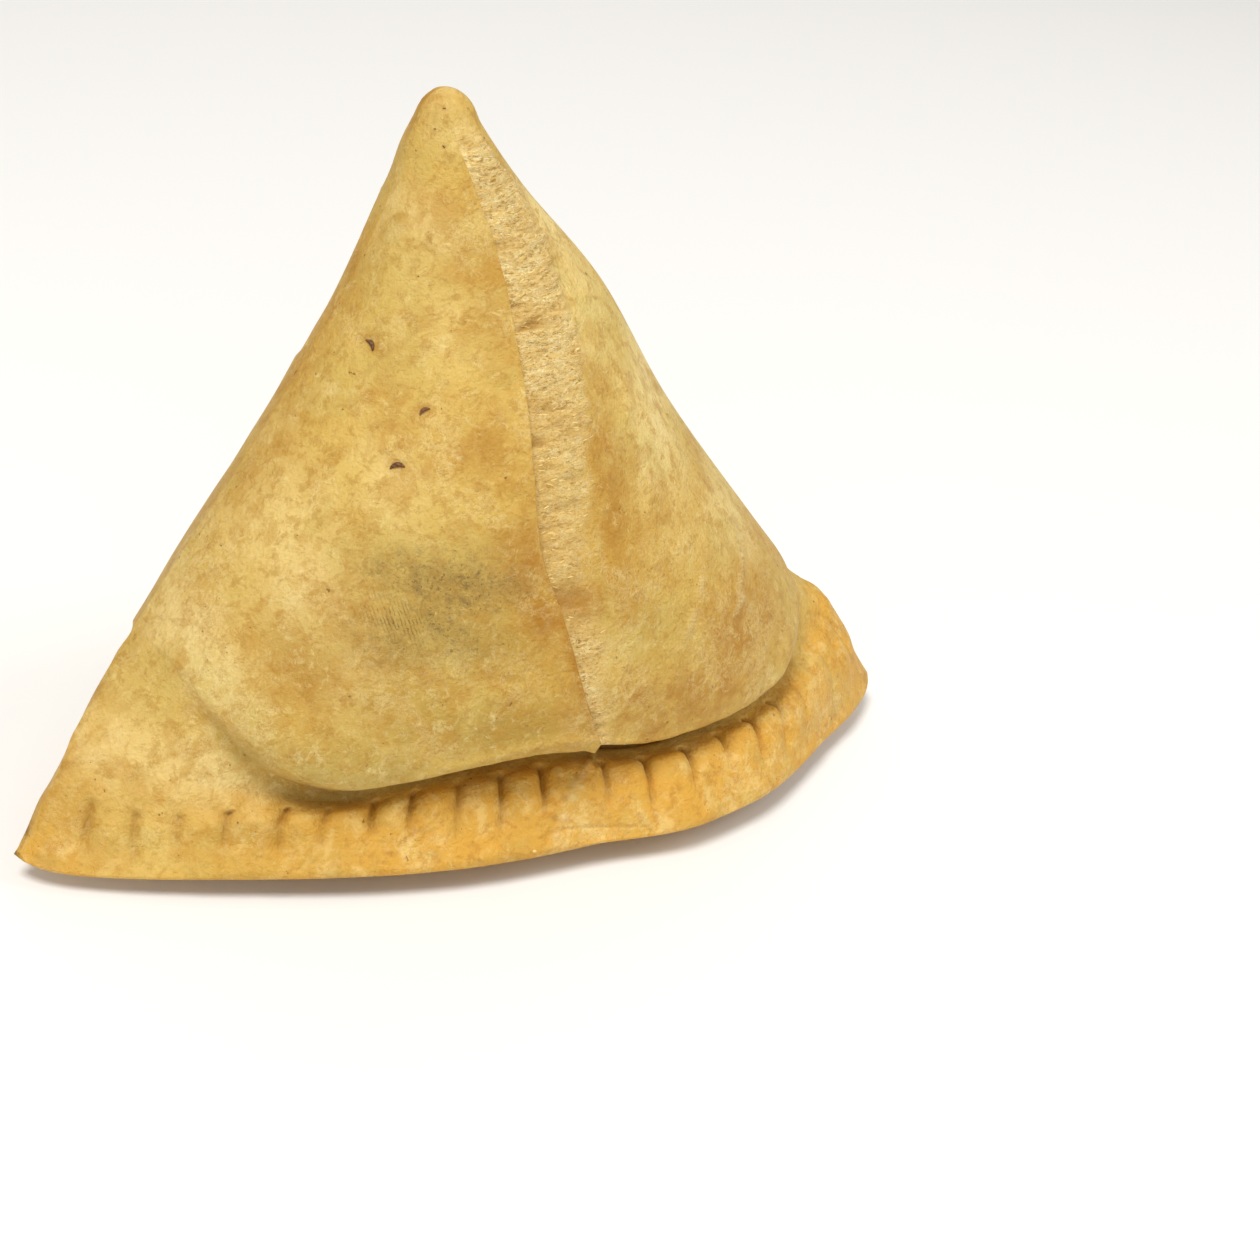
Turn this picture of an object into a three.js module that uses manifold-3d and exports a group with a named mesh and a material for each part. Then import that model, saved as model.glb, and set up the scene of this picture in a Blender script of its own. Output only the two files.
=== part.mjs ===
// Large deep-fried samosa, made as it is made by hand: a cone of wheat dough with a lapped seam
// down its front, filled, and its mouth pressed flat into a crimped rim.
// Millimetres. +Z is up, +X runs along the crimped rim, and the seam is on the -Y side.
// The origin is on the surface it rests on, in the middle of the flat underside.
import * as THREE from 'three';
import { mergeVertices } from 'three/addons/utils/BufferGeometryUtils.js';
import Module from 'manifold-3d';

const wasm = await Module();
wasm.setup();

// Middle of the flat underside, in the coordinates of the section tables below.
const BASE_CENTRE = new THREE.Vector3(2.5, 6, 0);

// Cross-sections of the filled cone. "down" is 0 at the tip and 1 at the edge of the rim.
// Each section is closed by two curves, over the belly and over the back, between two folds.
// A roundness of 1 is half an ellipse, and more is a leaner curve with sharper folds.
const SECTIONS = [
  { down: 0, left: [-6.3, 9, 87], right: [-6.3, 9, 87],
    belly: [-6.3, 9, 87], back: [-6.3, 9, 87], round: [1, 1] },
  { down: 0.004, left: [-7.3, 9, 86.8], right: [-5.3, 9, 86.8],
    belly: [-6.3, 8, 86.8], back: [-6.3, 10, 86.8], round: [1, 1] },
  { down: 0.012, left: [-8.2, 9, 86.2], right: [-4.3, 9, 86.3],
    belly: [-6.3, 7, 86.2], back: [-6.3, 11, 86.2], round: [1, 1] },
  { down: 0.05, left: [-10, 9, 82.8], right: [-2, 9, 83],
    belly: [-5.9, 4.8, 82.8], back: [-6, 13.2, 82.8], round: [1, 1] },
  { down: 0.14, left: [-12.1, 9, 75.8], right: [3.5, 9, 76.3],
    belly: [-4.8, 1.6, 75.8], back: [-5, 16, 75.8], round: [1, 1.1] },
  { down: 0.3, left: [-17.6, 8.5, 63.5], right: [15, 9, 64.5],
    belly: [-2.8, -5, 64], back: [-3, 21.2, 63], round: [1, 1.22] },
  { down: 0.5, left: [-28, 7, 47], right: [26.2, 8, 48],
    belly: [-2.2, -14.2, 47], back: [-1.5, 28, 44], round: [1, 1.25] },
  { down: 0.68, left: [-40.2, 4, 31], right: [39, 7, 32],
    belly: [1.2, -21, 31], back: [0, 33, 22], round: [0.98, 1.2] },
  { down: 0.79, left: [-48.1, 1.5, 20.8], right: [46.8, 6, 22.5],
    belly: [3.4, -22.8, 20.6], back: [1, 31, 7], round: [0.98, 1.4] },
  { down: 0.84, left: [-51.2, 0, 16.5], right: [50, 5, 18],
    belly: [4.8, -22.6, 15.6], back: [2, 22, 0.4], round: [1, 1.8] },
  { down: 0.88, left: [-53.3, -1.2, 12.8], right: [52.8, 4, 13.7],
    belly: [6, -20.5, 12.4], back: [3, 2, -0.6], round: [1.1, 2] },
  { down: 0.94, left: [-57.1, -3.6, 7], right: [58.2, 2, 8],
    belly: [6, -17, 9], back: [4.8, -18.5, 4.6], round: [1.2, 2] },
  { down: 1, left: [-61.1, -7.3, 1.9], right: [63.6, 0, 2.2],
    belly: [6, -17, 7], back: [5, -24.8, 3.6], round: [1.2, 1.9] },
];

// Middle of the pressed rim between the two folds, from under the belly out to its edge.
const RIM_SECTIONS = [
  { down: 0.6, middle: [8.5, -3, 24], round: [1.15] },
  { down: 0.76, middle: [7.8, -12, 15], round: [1.2] },
  { down: 0.84, middle: [6.8, -15.6, 11.2], round: [1.35] },
  { down: 0.92, middle: [5.9, -20.2, 7.4], round: [1.6] },
  { down: 1, middle: [5, -24.8, 3.6], round: [1.9] },
];

// Line where the belly meets the pressed rim. "across" is -1 at the left fold, 1 at the right.
const CREASE = [
  { across: -1, down: [0.75] },
  { across: -0.93, down: [0.777] },
  { across: -0.85, down: [0.805] },
  { across: -0.7, down: [0.85] },
  { across: -0.57, down: [0.868] },
  { across: -0.47, down: [0.852] },
  { across: -0.35, down: [0.83] },
  { across: -0.2, down: [0.823] },
  { across: 0, down: [0.829] },
  { across: 0.14, down: [0.849] },
  { across: 0.31, down: [0.855] },
  { across: 0.7, down: [0.84] },
  { across: 0.9, down: [0.81] },
  { across: 1, down: [0.79] },
];

// The sheet that laps the seam ends a little higher than the sheet that it covers.
const HEM_RISE = 0.01;

// How far the seam wanders from the middle of the belly on its way down.
const SEAM = [
  { down: 0, wander: [-0.25] },
  { down: 0.04, wander: [-0.25] },
  { down: 0.1, wander: [-0.05] },
  { down: 0.16, wander: [0.05] },
  { down: 0.24, wander: [0.04] },
  { down: 0.31, wander: [0.01] },
  { down: 0.42, wander: [0] },
  { down: 0.48, wander: [-0.02] },
  { down: 0.57, wander: [-0.06] },
  { down: 0.66, wander: [-0.042] },
  { down: 0.76, wander: [-0.02] },
  { down: 0.84, wander: [0] },
  { down: 1, wander: [0] },
];

// The rim is pressed out wider on the right of the seam, and less at its left end.
const RIM_WIDER_ON_RIGHT = 2.8;
const RIM_NARROWER_ON_LEFT = 1.6;

// Thickness of the two sheets of dough pressed together, the share of it that is lost towards
// the edge, and the thickness of the sheet that laps the seam.
const RIM_THICKNESS = 3.4;
const EDGE_TAPER = 0.45;
const LAP_STEP_AT_TIP = 0.25;
const LAP_STEP_AT_MOUTH = 1.6;
const SEAM_HALF_WIDTH = 0.003;

// Crimps pressed across the rim with a fingertip. Turn is the angle round the rim in radians.
const CRIMP_TURNS = [
  0.374, 0.53, 0.65, 0.766, 0.89, 0.981, 1.08, 1.16, 1.257, 1.355, 1.45, 1.6, 1.708, 1.826,
];
const CRIMP_PITCH = 0.116;
const LAST_CRIMP_TURN = 2.8;
const CRIMP_DEPTH = 1.3;
const CRIMP_VARIATION = 0.25;
const CRIMP_HALF_WIDTH = 0.017;
const CRIMP_LEAN = 1;
const PILLOW_HEIGHT = 0.75;
const CRIMPED_FROM = 0.87;
const CRIMPED_LOWER_AT_LEFT = 0.045;

// Grid row that follows the crease, and the rows over which the grid bends to meet it.
const CREASE_ROW = 0.84;
const BEND_FROM = 0.7;
const BEND_TO = 0.95;
const UNDERSIDE_ROW = 0.82;

// The left corner is fuller than the rest of the pressed rim.
const LEFT_CORNER_FULLNESS = 0.28;
const CORNER_ROUNDING = 0.018;

// Half height of the crease, as a share of the way down: sharp below the seam, softer elsewhere.
const SHARPEST_CREASE = 0.004;
const LEFT_SOFTNESS = 0.014;
const RIGHT_SOFTNESS = 0.008;
const CORNER_SOFTNESS = 0.03;
const END_SOFTNESS = 0.05;

// Spice seeds baked flush into the crust: place on the belly, turn in the surface.
const SEED_SIZE = [1.45, 0.72, 0.6];
const SMALL_SEED_SIZE = [0.6, 0.45, 0.4];
const SEEDS = [
  { down: 0.335, across: -0.85, turn: 0.5, size: SEED_SIZE },
  { down: 0.404, across: -0.53, turn: -0.4, size: SEED_SIZE },
  { down: 0.463, across: -0.61, turn: 0.1, size: SEED_SIZE },
  { down: 0.03, across: -0.6, turn: 0, size: SMALL_SEED_SIZE },
  { down: 0.067, across: -0.54, turn: 0.6, size: SMALL_SEED_SIZE },
];

const CRUST_COLOUR = '#d9b25c';
const CRUST_ROUGHNESS = 0.62;

function smooth(from, to, value) {
  const t = Math.min(1, Math.max(0, (value - from) / (to - from)));
  return t * t * (3 - 2 * t);
}

function pulse(value, centre, width) {
  return Math.exp(-(((value - centre) / width) ** 2));
}

// Smooth curve through one column of a table, with the slope of its neighbours at each row.
function curveThrough(rows, key, column) {
  const keys = rows.map((row) => row[key]);
  const values = rows.map((row) => row[column]);
  const last = keys.length - 1;
  const rise = (i, n) => (values[i + 1][n] - values[i][n]) / (keys[i + 1] - keys[i]);
  const slope = (i, n) => {
    if (i === 0) return rise(0, n);
    if (i === last) return rise(last - 1, n);
    const before = keys[i] - keys[i - 1];
    const after = keys[i + 1] - keys[i];
    return (rise(i - 1, n) * after + rise(i, n) * before) / (before + after);
  };
  const slopes = values.map((value, i) => value.map((unused, n) => slope(i, n)));
  return (at) => {
    let i = 0;
    while (i < last - 1 && at >= keys[i + 1]) i += 1;
    const span = keys[i + 1] - keys[i];
    const t = Math.min(1, Math.max(0, (at - keys[i]) / span));
    return values[i].map((start, n) => {
      const end = values[i + 1][n];
      const leave = slopes[i][n] * span;
      const arrive = slopes[i + 1][n] * span;
      return start * (2 * t ** 3 - 3 * t ** 2 + 1) + leave * (t ** 3 - 2 * t ** 2 + t)
        + end * (3 * t ** 2 - 2 * t ** 3) + arrive * (t ** 3 - t ** 2);
    });
  };
}

const leftFold = curveThrough(SECTIONS, 'down', 'left');
const rightFold = curveThrough(SECTIONS, 'down', 'right');
const bellyMiddle = curveThrough(SECTIONS, 'down', 'belly');
const backMiddle = curveThrough(SECTIONS, 'down', 'back');
const roundness = curveThrough(SECTIONS, 'down', 'round');
const rimMiddle = curveThrough(RIM_SECTIONS, 'down', 'middle');
const rimRoundness = curveThrough(RIM_SECTIONS, 'down', 'round');
const creaseDown = curveThrough(CREASE, 'across', 'down');
const seamWander = curveThrough(SEAM, 'down', 'wander');

// Point on the curve from the left fold over the middle to the right fold.
function sectionPoint(down, across, middle, round) {
  const left = new THREE.Vector3(...leftFold(down));
  const right = new THREE.Vector3(...rightFold(down));
  const centre = left.clone().add(right).multiplyScalar(0.5);
  const bulge = Math.max(0, 1 - across * across) ** (round / 2);
  const point = right.sub(left).multiplyScalar(across / 2).add(centre);
  return point.add(new THREE.Vector3(...middle).sub(centre).multiplyScalar(bulge));
}

// Middle surface of the pressed rim.
function rimPoint(down, across) {
  const point = sectionPoint(down, across, rimMiddle(down), rimRoundness(down)[0]);
  const wider = smooth(-0.05, 0.25, across) * (1 - smooth(0.4, 0.75, across));
  const narrower = smooth(0.2, 0.75, -across);
  point.y += (RIM_NARROWER_ON_LEFT * narrower - RIM_WIDER_ON_RIGHT * wider) * smooth(0.84, 1, down);
  return point;
}

// The two lower corners of the rim are rounded off.
function roundedCorner(down, across) {
  return down - CORNER_ROUNDING * Math.abs(across) ** 24 * smooth(0.8, 1, down);
}

// Height of the crease step: sharp under the seam, soft towards the two lower corners.
function creaseHalfHeight(across) {
  const left = LEFT_SOFTNESS * (1 - smooth(-0.6, -0.42, across));
  const corners = CORNER_SOFTNESS * smooth(0.6, 0.85, Math.abs(across));
  const ends = END_SOFTNESS * smooth(0.85, 1, Math.abs(across));
  const right = RIGHT_SOFTNESS * smooth(0.25, 0.5, across);
  return SHARPEST_CREASE + left + corners + ends + right;
}

function bend(row) {
  return smooth(BEND_FROM, CREASE_ROW, row) * (1 - smooth(CREASE_ROW, BEND_TO, row));
}

// Grid rows bend to follow the crease, and grid columns lean to follow the crimps.
function downAt(row, column) {
  const hem = column < 0 ? HEM_RISE * smooth(-0.35, -0.1, column) : 0;
  return row + (creaseDown(column)[0] - hem - CREASE_ROW) * bend(row);
}

function acrossAt(row, column) {
  const lean = -CRIMP_LEAN * column * (1 - Math.abs(column) ** 12);
  const wander = seamWander(row)[0] * (1 - column * column);
  return column + wander + lean * (downAt(row, column) - 0.93) * smooth(0.84, 0.92, row);
}

// Front sheet: the belly above the crease and the pressed rim below it.
function frontPoint(row, column) {
  const across = acrossAt(row, column);
  const down = roundedCorner(downAt(row, column), across);
  const pouch = sectionPoint(down, across, bellyMiddle(down), roundness(down)[0]);
  const rim = rimPoint(down, across);
  const half = creaseHalfHeight(column);
  return pouch.lerp(rim, smooth(-half, half, row - CREASE_ROW) * (1 - fullness(row, column)));
}

function fullness(row, column) {
  return LEFT_CORNER_FULLNESS * smooth(0.55, 0.85, -column) * (1 - smooth(0.86, 0.96, row));
}

// Back sheet: the back of the cone, the flat underside and the underside of the rim.
function backPoint(row, column) {
  const end = column < 0 ? -1 : 1;
  const down = roundedCorner(downAt(row, end * smooth(0, 1, Math.abs(column))), column);
  const pouch = sectionPoint(down, column, backMiddle(down), roundness(down)[1]);
  const rim = rimPoint(down, column);
  return pouch.lerp(rim, pressedShare(row, column));
}

// How far the back sheet is pressed against the front one: at the corners, then all along.
function pressedShare(row, column) {
  const from = 0.5 * (1 - smooth(0.86, 0.98, row));
  return smooth(0.78, 0.9, row) * smooth(from, from + 0.45, Math.abs(column));
}

function outward(sheet, row, column, facing) {
  const step = 0.001;
  const acrossStep = sheet(row, Math.min(1, column + step));
  acrossStep.sub(sheet(row, Math.max(-1, column - step)));
  const downStep = sheet(Math.min(1, row + step), column);
  downStep.sub(sheet(Math.max(0, row - step), column));
  return downStep.cross(acrossStep).multiplyScalar(facing).normalize();
}

// Half the thickness of the pressed sheets, rounded off at every edge.
function halfThickness(sheet, row, column, point, pressedFrom) {
  const half = RIM_THICKNESS / 2;
  const pressed = smooth(pressedFrom, pressedFrom + 0.05, row);
  const edges = [sheet(1, column), sheet(row, -1), sheet(row, 1)];
  const rounding = edges.map((edge) => {
    const inside = Math.min(1, point.distanceTo(edge) / half);
    return Math.sqrt(1 - (1 - inside) ** 2);
  });
  const taper = 1 - EDGE_TAPER * smooth(0.9, 0.99, row);
  return half * pressed * taper * rounding[0] * rounding[1] * rounding[2];
}

// The left sheet of dough laps over the right one along the seam.
function lapRelief(row, column) {
  if (column >= 0) return 0;
  const aboveCrease = 1 - smooth(-0.004, 0.004, row - CREASE_ROW);
  const step = LAP_STEP_AT_TIP
    + (LAP_STEP_AT_MOUTH - LAP_STEP_AT_TIP) * smooth(0.1, 0.75, row);
  return step * smooth(0, 0.08, row) * (1 - smooth(0, 0.5, -column)) * aboveCrease;
}

function crimpColumns() {
  const turns = [...CRIMP_TURNS];
  while (turns[turns.length - 1] + CRIMP_PITCH < LAST_CRIMP_TURN) {
    turns.push(turns[turns.length - 1] + CRIMP_PITCH);
  }
  return turns.map((turn) => -Math.cos(turn));
}

const crimps = crimpColumns();

// Row where the crimps begin: lower down towards the left corner.
function crimpStart(column) {
  return CRIMPED_FROM + CRIMPED_LOWER_AT_LEFT * smooth(0.6, 0.85, -column);
}

function crimpRelief(row, column) {
  let relief = 0;
  crimps.forEach((crimp, number) => {
    const fullDepth = CRIMP_DEPTH + CRIMP_VARIATION * Math.sin(2.1 * number + 0.5);
    const depth = fullDepth * (0.5 + 0.5 * smooth(-0.8, -0.6, crimp));
    relief -= depth * pulse(column, crimp, CRIMP_HALF_WIDTH);
  });
  const start = crimpStart(column);
  return relief * smooth(start, start + 0.02, row) * (1 - smooth(0.93, 0.985, row));
}

// Dough pressed up between the crimps, lower again at the edge and at the left corner.
function pillowRelief(row, column) {
  const start = crimpStart(column);
  const height = smooth(start, start + 0.03, row) * (1 - smooth(0.91, 0.99, row));
  return PILLOW_HEIGHT * height * (0.3 + 0.7 * smooth(-0.93, -0.65, column));
}

// A soft tuck in the dough low down on the back.
function tuckRelief(row, column) {
  const height = smooth(0.5, 0.74, row) * (1 - smooth(0.8, 0.86, row));
  return height * (0.7 * pulse(column, -0.1, 0.15) - 0.9 * pulse(column, 0.1, 0.12));
}

function frontSurface(row, column) {
  const point = frontPoint(row, column);
  const normal = row > 0 ? outward(frontPoint, row, column, 1) : new THREE.Vector3(0, 0, 1);
  const pressed = crimpRelief(row, column) + pillowRelief(row, column);
  const thickness = halfThickness(frontPoint, row, column, point, CREASE_ROW);
  const offset = thickness + lapRelief(row, column) + pressed;
  return point.addScaledVector(normal, row > 0 ? offset : 0);
}

function backSurface(row, column) {
  const point = backPoint(row, column);
  const normal = outward(backPoint, row, column, -1);
  const offset = halfThickness(backPoint, row, column, point, UNDERSIDE_ROW) + tuckRelief(row, column);
  return point.addScaledVector(normal, offset);
}

function range(from, to, count) {
  return Array.from({ length: count }, (unused, i) => from + ((to - from) * i) / (count - 1));
}

// Rows close together where the form turns quickly: tip, crease, crimps and rim edge.
function gridRows() {
  const tip = [0, 0.004, 0.012, 0.024, 0.042];
  const cone = range(0.07, 0.74, 17);
  const belly = [0.77, 0.795, 0.812, 0.824];
  const crease = [0.8325, 0.8368, CREASE_ROW, 0.8432, 0.8475, 0.856];
  const flange = range(0.87, 0.955, 7);
  const edge = [0.966, 0.976, 0.985, 0.992, 0.997, 1];
  return [...tip, ...cone, ...belly, ...crease, ...flange, ...edge];
}

// Columns on both sides of the seam, on each crimp, beside it and half-way to the next.
function frontColumns() {
  const corner = [0.08, 0.16, 0.25].map((turn) => Math.cos(turn));
  const columns = [-1, 1, -SEAM_HALF_WIDTH, SEAM_HALF_WIDTH];
  corner.forEach((column) => columns.push(-column, column));
  crimps.forEach((crimp, number) => {
    columns.push(crimp - CRIMP_HALF_WIDTH, crimp, crimp + CRIMP_HALF_WIDTH);
    if (number > 0) columns.push((crimp + crimps[number - 1]) / 2);
  });
  const sorted = columns.sort((a, b) => a - b);
  const spaced = sorted.filter((column) => {
    const besideSeam = Math.abs(column) < 0.012 && Math.abs(column) !== SEAM_HALF_WIDTH;
    return !besideSeam;
  });
  return spaced;
}

function backColumns() {
  return range(0, Math.PI, 29).map((turn) => -Math.cos(turn));
}

// Joins the two grids into one closed skin: shared folds, shared rim edge, one point at the tip.
function crustGeometry() {
  const rows = gridRows();
  const front = frontColumns();
  const back = backColumns();
  const points = [];
  const faces = [];
  const place = (point) => {
    points.push(point.x, point.y, Math.max(0, point.z));
    return points.length / 3 - 1;
  };
  const tip = place(frontSurface(0, 0));
  const frontGrid = rows.slice(1).map((row) => front.map((c) => place(frontSurface(row, c))));
  const lastFront = front.length - 1;
  const backGrid = rows.slice(1, -1).map((row, i) => back.map((c, j) => {
    if (j === 0) return frontGrid[i][0];
    if (j === back.length - 1) return frontGrid[i][lastFront];
    return place(backSurface(row, c));
  }));
  const fillBetween = (grid, outwardOrder) => {
    const add = (a, b, c) => faces.push(...(outwardOrder ? [a, b, c] : [a, c, b]));
    for (let j = 0; j < grid[0].length - 1; j += 1) add(tip, grid[0][j], grid[0][j + 1]);
    for (let i = 0; i < grid.length - 1; i += 1) {
      for (let j = 0; j < grid[i].length - 1; j += 1) {
        add(grid[i][j], grid[i + 1][j], grid[i + 1][j + 1]);
        add(grid[i][j], grid[i + 1][j + 1], grid[i][j + 1]);
      }
    }
  };
  fillBetween(frontGrid, true);
  fillBetween(backGrid, false);
  closeRim(frontGrid[frontGrid.length - 1], front, backGrid[backGrid.length - 1], back, faces);
  const geometry = new THREE.BufferGeometry();
  geometry.setAttribute('position', new THREE.Float32BufferAttribute(points, 3));
  geometry.setIndex(faces);
  return geometry;
}

// Strip of triangles between the rim edge of the front sheet and the last row of the back sheet.
function closeRim(edge, edgeColumns, inner, innerColumns, faces) {
  let e = 0;
  let n = 0;
  while (e < edge.length - 1 || n < inner.length - 1) {
    const nextEdge = e < edge.length - 1 ? edgeColumns[e + 1] : Infinity;
    const nextInner = n < inner.length - 1 ? innerColumns[n + 1] : Infinity;
    if (nextEdge <= nextInner) {
      faces.push(edge[e], inner[n], edge[e + 1]);
      e += 1;
    } else {
      faces.push(edge[e], inner[n], inner[n + 1]);
      n += 1;
    }
  }
}

function toManifold(geometry) {
  const merged = mergeVertices(geometry, 1e-5);
  const mesh = new wasm.Mesh({
    numProp: 3,
    vertProperties: new Float32Array(merged.attributes.position.array),
    triVerts: new Uint32Array(merged.index.array),
  });
  return new wasm.Manifold(mesh);
}

function toGeometry(solid) {
  const mesh = solid.getMesh();
  const geometry = new THREE.BufferGeometry();
  const vertices = new THREE.Float32BufferAttribute(mesh.vertProperties, mesh.numProp);
  geometry.setAttribute('position', vertices);
  geometry.setIndex(Array.from(mesh.triVerts));
  return geometry;
}

// One seed, half sunk in the crust, lying along the surface.
function seedGeometry({ down, across, turn, size }) {
  const point = frontSurface(down, across);
  const normal = outward(frontPoint, down, across, 1);
  const along = new THREE.Vector3(1, 0, 0).applyAxisAngle(new THREE.Vector3(0, 1, 0), turn);
  along.addScaledVector(normal, -along.dot(normal)).normalize();
  const side = normal.clone().cross(along);
  const geometry = new THREE.OctahedronGeometry(1, 1);
  geometry.deleteAttribute('normal');
  geometry.deleteAttribute('uv');
  geometry.scale(...size);
  const place = new THREE.Matrix4().makeBasis(along, side, normal).setPosition(point);
  return geometry.applyMatrix4(place);
}

function samosa() {
  const solid = SEEDS.reduce(
    (whole, seed) => whole.add(toManifold(seedGeometry(seed))),
    toManifold(crustGeometry()),
  );
  const geometry = toGeometry(solid);
  geometry.translate(-BASE_CENTRE.x, -BASE_CENTRE.y, -BASE_CENTRE.z);
  geometry.computeVertexNormals();
  const material = new THREE.MeshStandardMaterial({
    color: CRUST_COLOUR,
    roughness: CRUST_ROUGHNESS,
    metalness: 0,
  });
  const mesh = new THREE.Mesh(geometry, material);
  mesh.name = 'samosa';
  return mesh;
}

const group = new THREE.Group();
group.name = 'fried_samosa';
group.add(samosa());

export default group;
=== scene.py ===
"""Large deep-fried samosa: a filled cone of wheat dough with a lapped seam and a crimped rim.

Sizes in the tables are millimetres, as in the part's source. Meshes are made in metres.
Each sheet of dough has a grid: rows run down from 0 at the tip to 1 at the rim's edge, and columns
run across from -1 at the left fold to 1 at the right one, with 0 at the seam.
"""

import itertools
import math

import bpy
import numpy as np
from mathutils import Matrix, Vector


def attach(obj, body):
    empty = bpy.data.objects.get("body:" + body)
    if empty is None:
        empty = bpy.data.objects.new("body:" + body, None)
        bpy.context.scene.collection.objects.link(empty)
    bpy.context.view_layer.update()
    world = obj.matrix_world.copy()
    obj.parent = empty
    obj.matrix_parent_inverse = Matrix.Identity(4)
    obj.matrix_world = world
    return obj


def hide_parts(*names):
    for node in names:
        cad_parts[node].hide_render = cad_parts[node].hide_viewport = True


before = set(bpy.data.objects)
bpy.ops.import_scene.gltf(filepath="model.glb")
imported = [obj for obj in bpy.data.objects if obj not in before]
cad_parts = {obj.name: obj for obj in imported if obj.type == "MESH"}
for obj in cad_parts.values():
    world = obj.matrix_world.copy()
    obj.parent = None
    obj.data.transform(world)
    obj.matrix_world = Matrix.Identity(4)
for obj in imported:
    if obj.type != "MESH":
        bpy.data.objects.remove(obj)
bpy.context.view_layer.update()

MM = 0.001

# Middle of the flat underside, in the coordinates of the tables below.
BASE_CENTRE = (2.5, 6.0, 0.0)

# Cross-sections of the filled cone: down from the tip, left fold, right fold, middle of the
# belly, middle of the back, and the roundness of belly and back.
SECTIONS = (
    (0.0, (-6.3, 9, 87), (-6.3, 9, 87), (-6.3, 9, 87), (-6.3, 9, 87), (1, 1)),
    (0.004, (-7.3, 9, 86.8), (-5.3, 9, 86.8), (-6.3, 8, 86.8), (-6.3, 10, 86.8), (1, 1)),
    (0.012, (-8.2, 9, 86.2), (-4.3, 9, 86.3), (-6.3, 7, 86.2), (-6.3, 11, 86.2), (1, 1)),
    (0.05, (-10, 9, 82.8), (-2, 9, 83), (-5.9, 4.8, 82.8), (-6, 13.2, 82.8), (1, 1)),
    (0.14, (-12.1, 9, 75.8), (3.5, 9, 76.3), (-4.8, 1.6, 75.8), (-5, 16, 75.8), (1, 1.1)),
    (0.3, (-17.6, 8.5, 63.5), (15, 9, 64.5), (-2.8, -5, 64), (-3, 21.2, 63), (1, 1.22)),
    (0.5, (-28, 7, 47), (26.2, 8, 48), (-2.2, -14.2, 47), (-1.5, 28, 44), (1, 1.25)),
    (0.68, (-40.2, 4, 31), (39, 7, 32), (1.2, -21, 31), (0, 33, 22), (0.98, 1.2)),
    (0.79, (-48.1, 1.5, 20.8), (46.8, 6, 22.5), (3.4, -22.8, 20.6), (1, 31, 7), (0.98, 1.4)),
    (0.84, (-51.2, 0, 16.5), (50, 5, 18), (4.8, -22.6, 15.6), (2, 22, 0.4), (1, 1.8)),
    (0.88, (-53.3, -1.2, 12.8), (52.8, 4, 13.7), (6, -20.5, 12.4), (3, 2, -0.6), (1.1, 2)),
    (0.94, (-57.1, -3.6, 7), (58.2, 2, 8), (6, -17, 9), (4.8, -18.5, 4.6), (1.2, 2)),
    (1.0, (-61.1, -7.3, 1.9), (63.6, 0, 2.2), (6, -17, 7), (5, -24.8, 3.6), (1.2, 1.9)),
)
# Middle of the pressed rim, and its roundness, from under the belly out to its edge.
RIM_SECTIONS = (
    (0.6, (8.5, -3, 24), (1.15,)),
    (0.76, (7.8, -12, 15), (1.2,)),
    (0.84, (6.8, -15.6, 11.2), (1.35,)),
    (0.92, (5.9, -20.2, 7.4), (1.6,)),
    (1.0, (5, -24.8, 3.6), (1.9,)),
)
# Line where the belly meets the pressed rim, from the left fold to the right one.
CREASE = (
    (-1, 0.75), (-0.93, 0.777), (-0.85, 0.805), (-0.7, 0.85), (-0.57, 0.868), (-0.47, 0.852),
    (-0.35, 0.83), (-0.2, 0.823), (0, 0.829), (0.14, 0.849), (0.31, 0.855),
    (0.7, 0.84), (0.9, 0.81), (1, 0.79),
)
# The lapped sheet ends a little higher than the sheet that it covers.
HEM_RISE = 0.01
# How far the seam wanders from the middle of the belly on its way down.
SEAM = (
    (0, -0.25), (0.04, -0.25), (0.1, -0.05), (0.16, 0.05), (0.24, 0.04), (0.31, 0.01),
    (0.42, 0), (0.48, -0.02), (0.57, -0.06), (0.66, -0.042), (0.76, -0.02), (0.84, 0), (1, 0),
)
# Right edge of the flaky strip that the lapped sheet leaves bare, as a share of the panel.
STRIP_EDGE = (
    (0, 0.5), (0.06, 0.7), (0.1, 0.8), (0.16, 0.8), (0.2, 0.73), (0.24, 0.6), (0.295, 0.5),
    (0.345, 0.46), (0.4, 0.4), (0.46, 0.33), (0.52, 0.25), (0.59, 0.17), (0.64, 0.13),
    (0.7, 0.1), (0.76, 0.065), (0.84, 0.04), (1, 0.03),
)

# The rim is pressed out wider on the right of the seam, and less at its left end.
RIM_WIDER_ON_RIGHT = 2.8
RIM_NARROWER_ON_LEFT = 1.6

RIM_THICKNESS = 3.4
# Share of its thickness that the rim loses towards its edge.
EDGE_TAPER = 0.45
LAP_STEP_AT_TIP = 0.25
LAP_STEP_AT_MOUTH = 1.6

# Crimps along the rim, as turns in radians from its left end to its right one. Those that show in
# the photo are listed, and the rest follow at an even pitch.
CRIMP_TURNS = (
    0.374, 0.53, 0.65, 0.766, 0.89, 0.981, 1.08, 1.16, 1.257, 1.355, 1.45, 1.6, 1.708, 1.826,
)
CRIMP_PITCH = 0.116
LAST_CRIMP_TURN = 2.8
CRIMP_VARIATION = 0.25
CRIMP_LEAN = 1.0
# Row where the crimps start. They start lower near the rim's left corner.
CRIMP_START = 0.872
LEFT_CRIMPS_LOWER = 0.045
# Half width of a crimp's sharp slit and of the valley round it, as a share of half the rim.
SLIT_HALF_WIDTH = 0.0058
VALLEY_HALF_WIDTH = 0.02
SLIT_DEPTH = 0.9
VALLEY_DEPTH = 0.8
PILLOW_HEIGHT = 1.2

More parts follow.
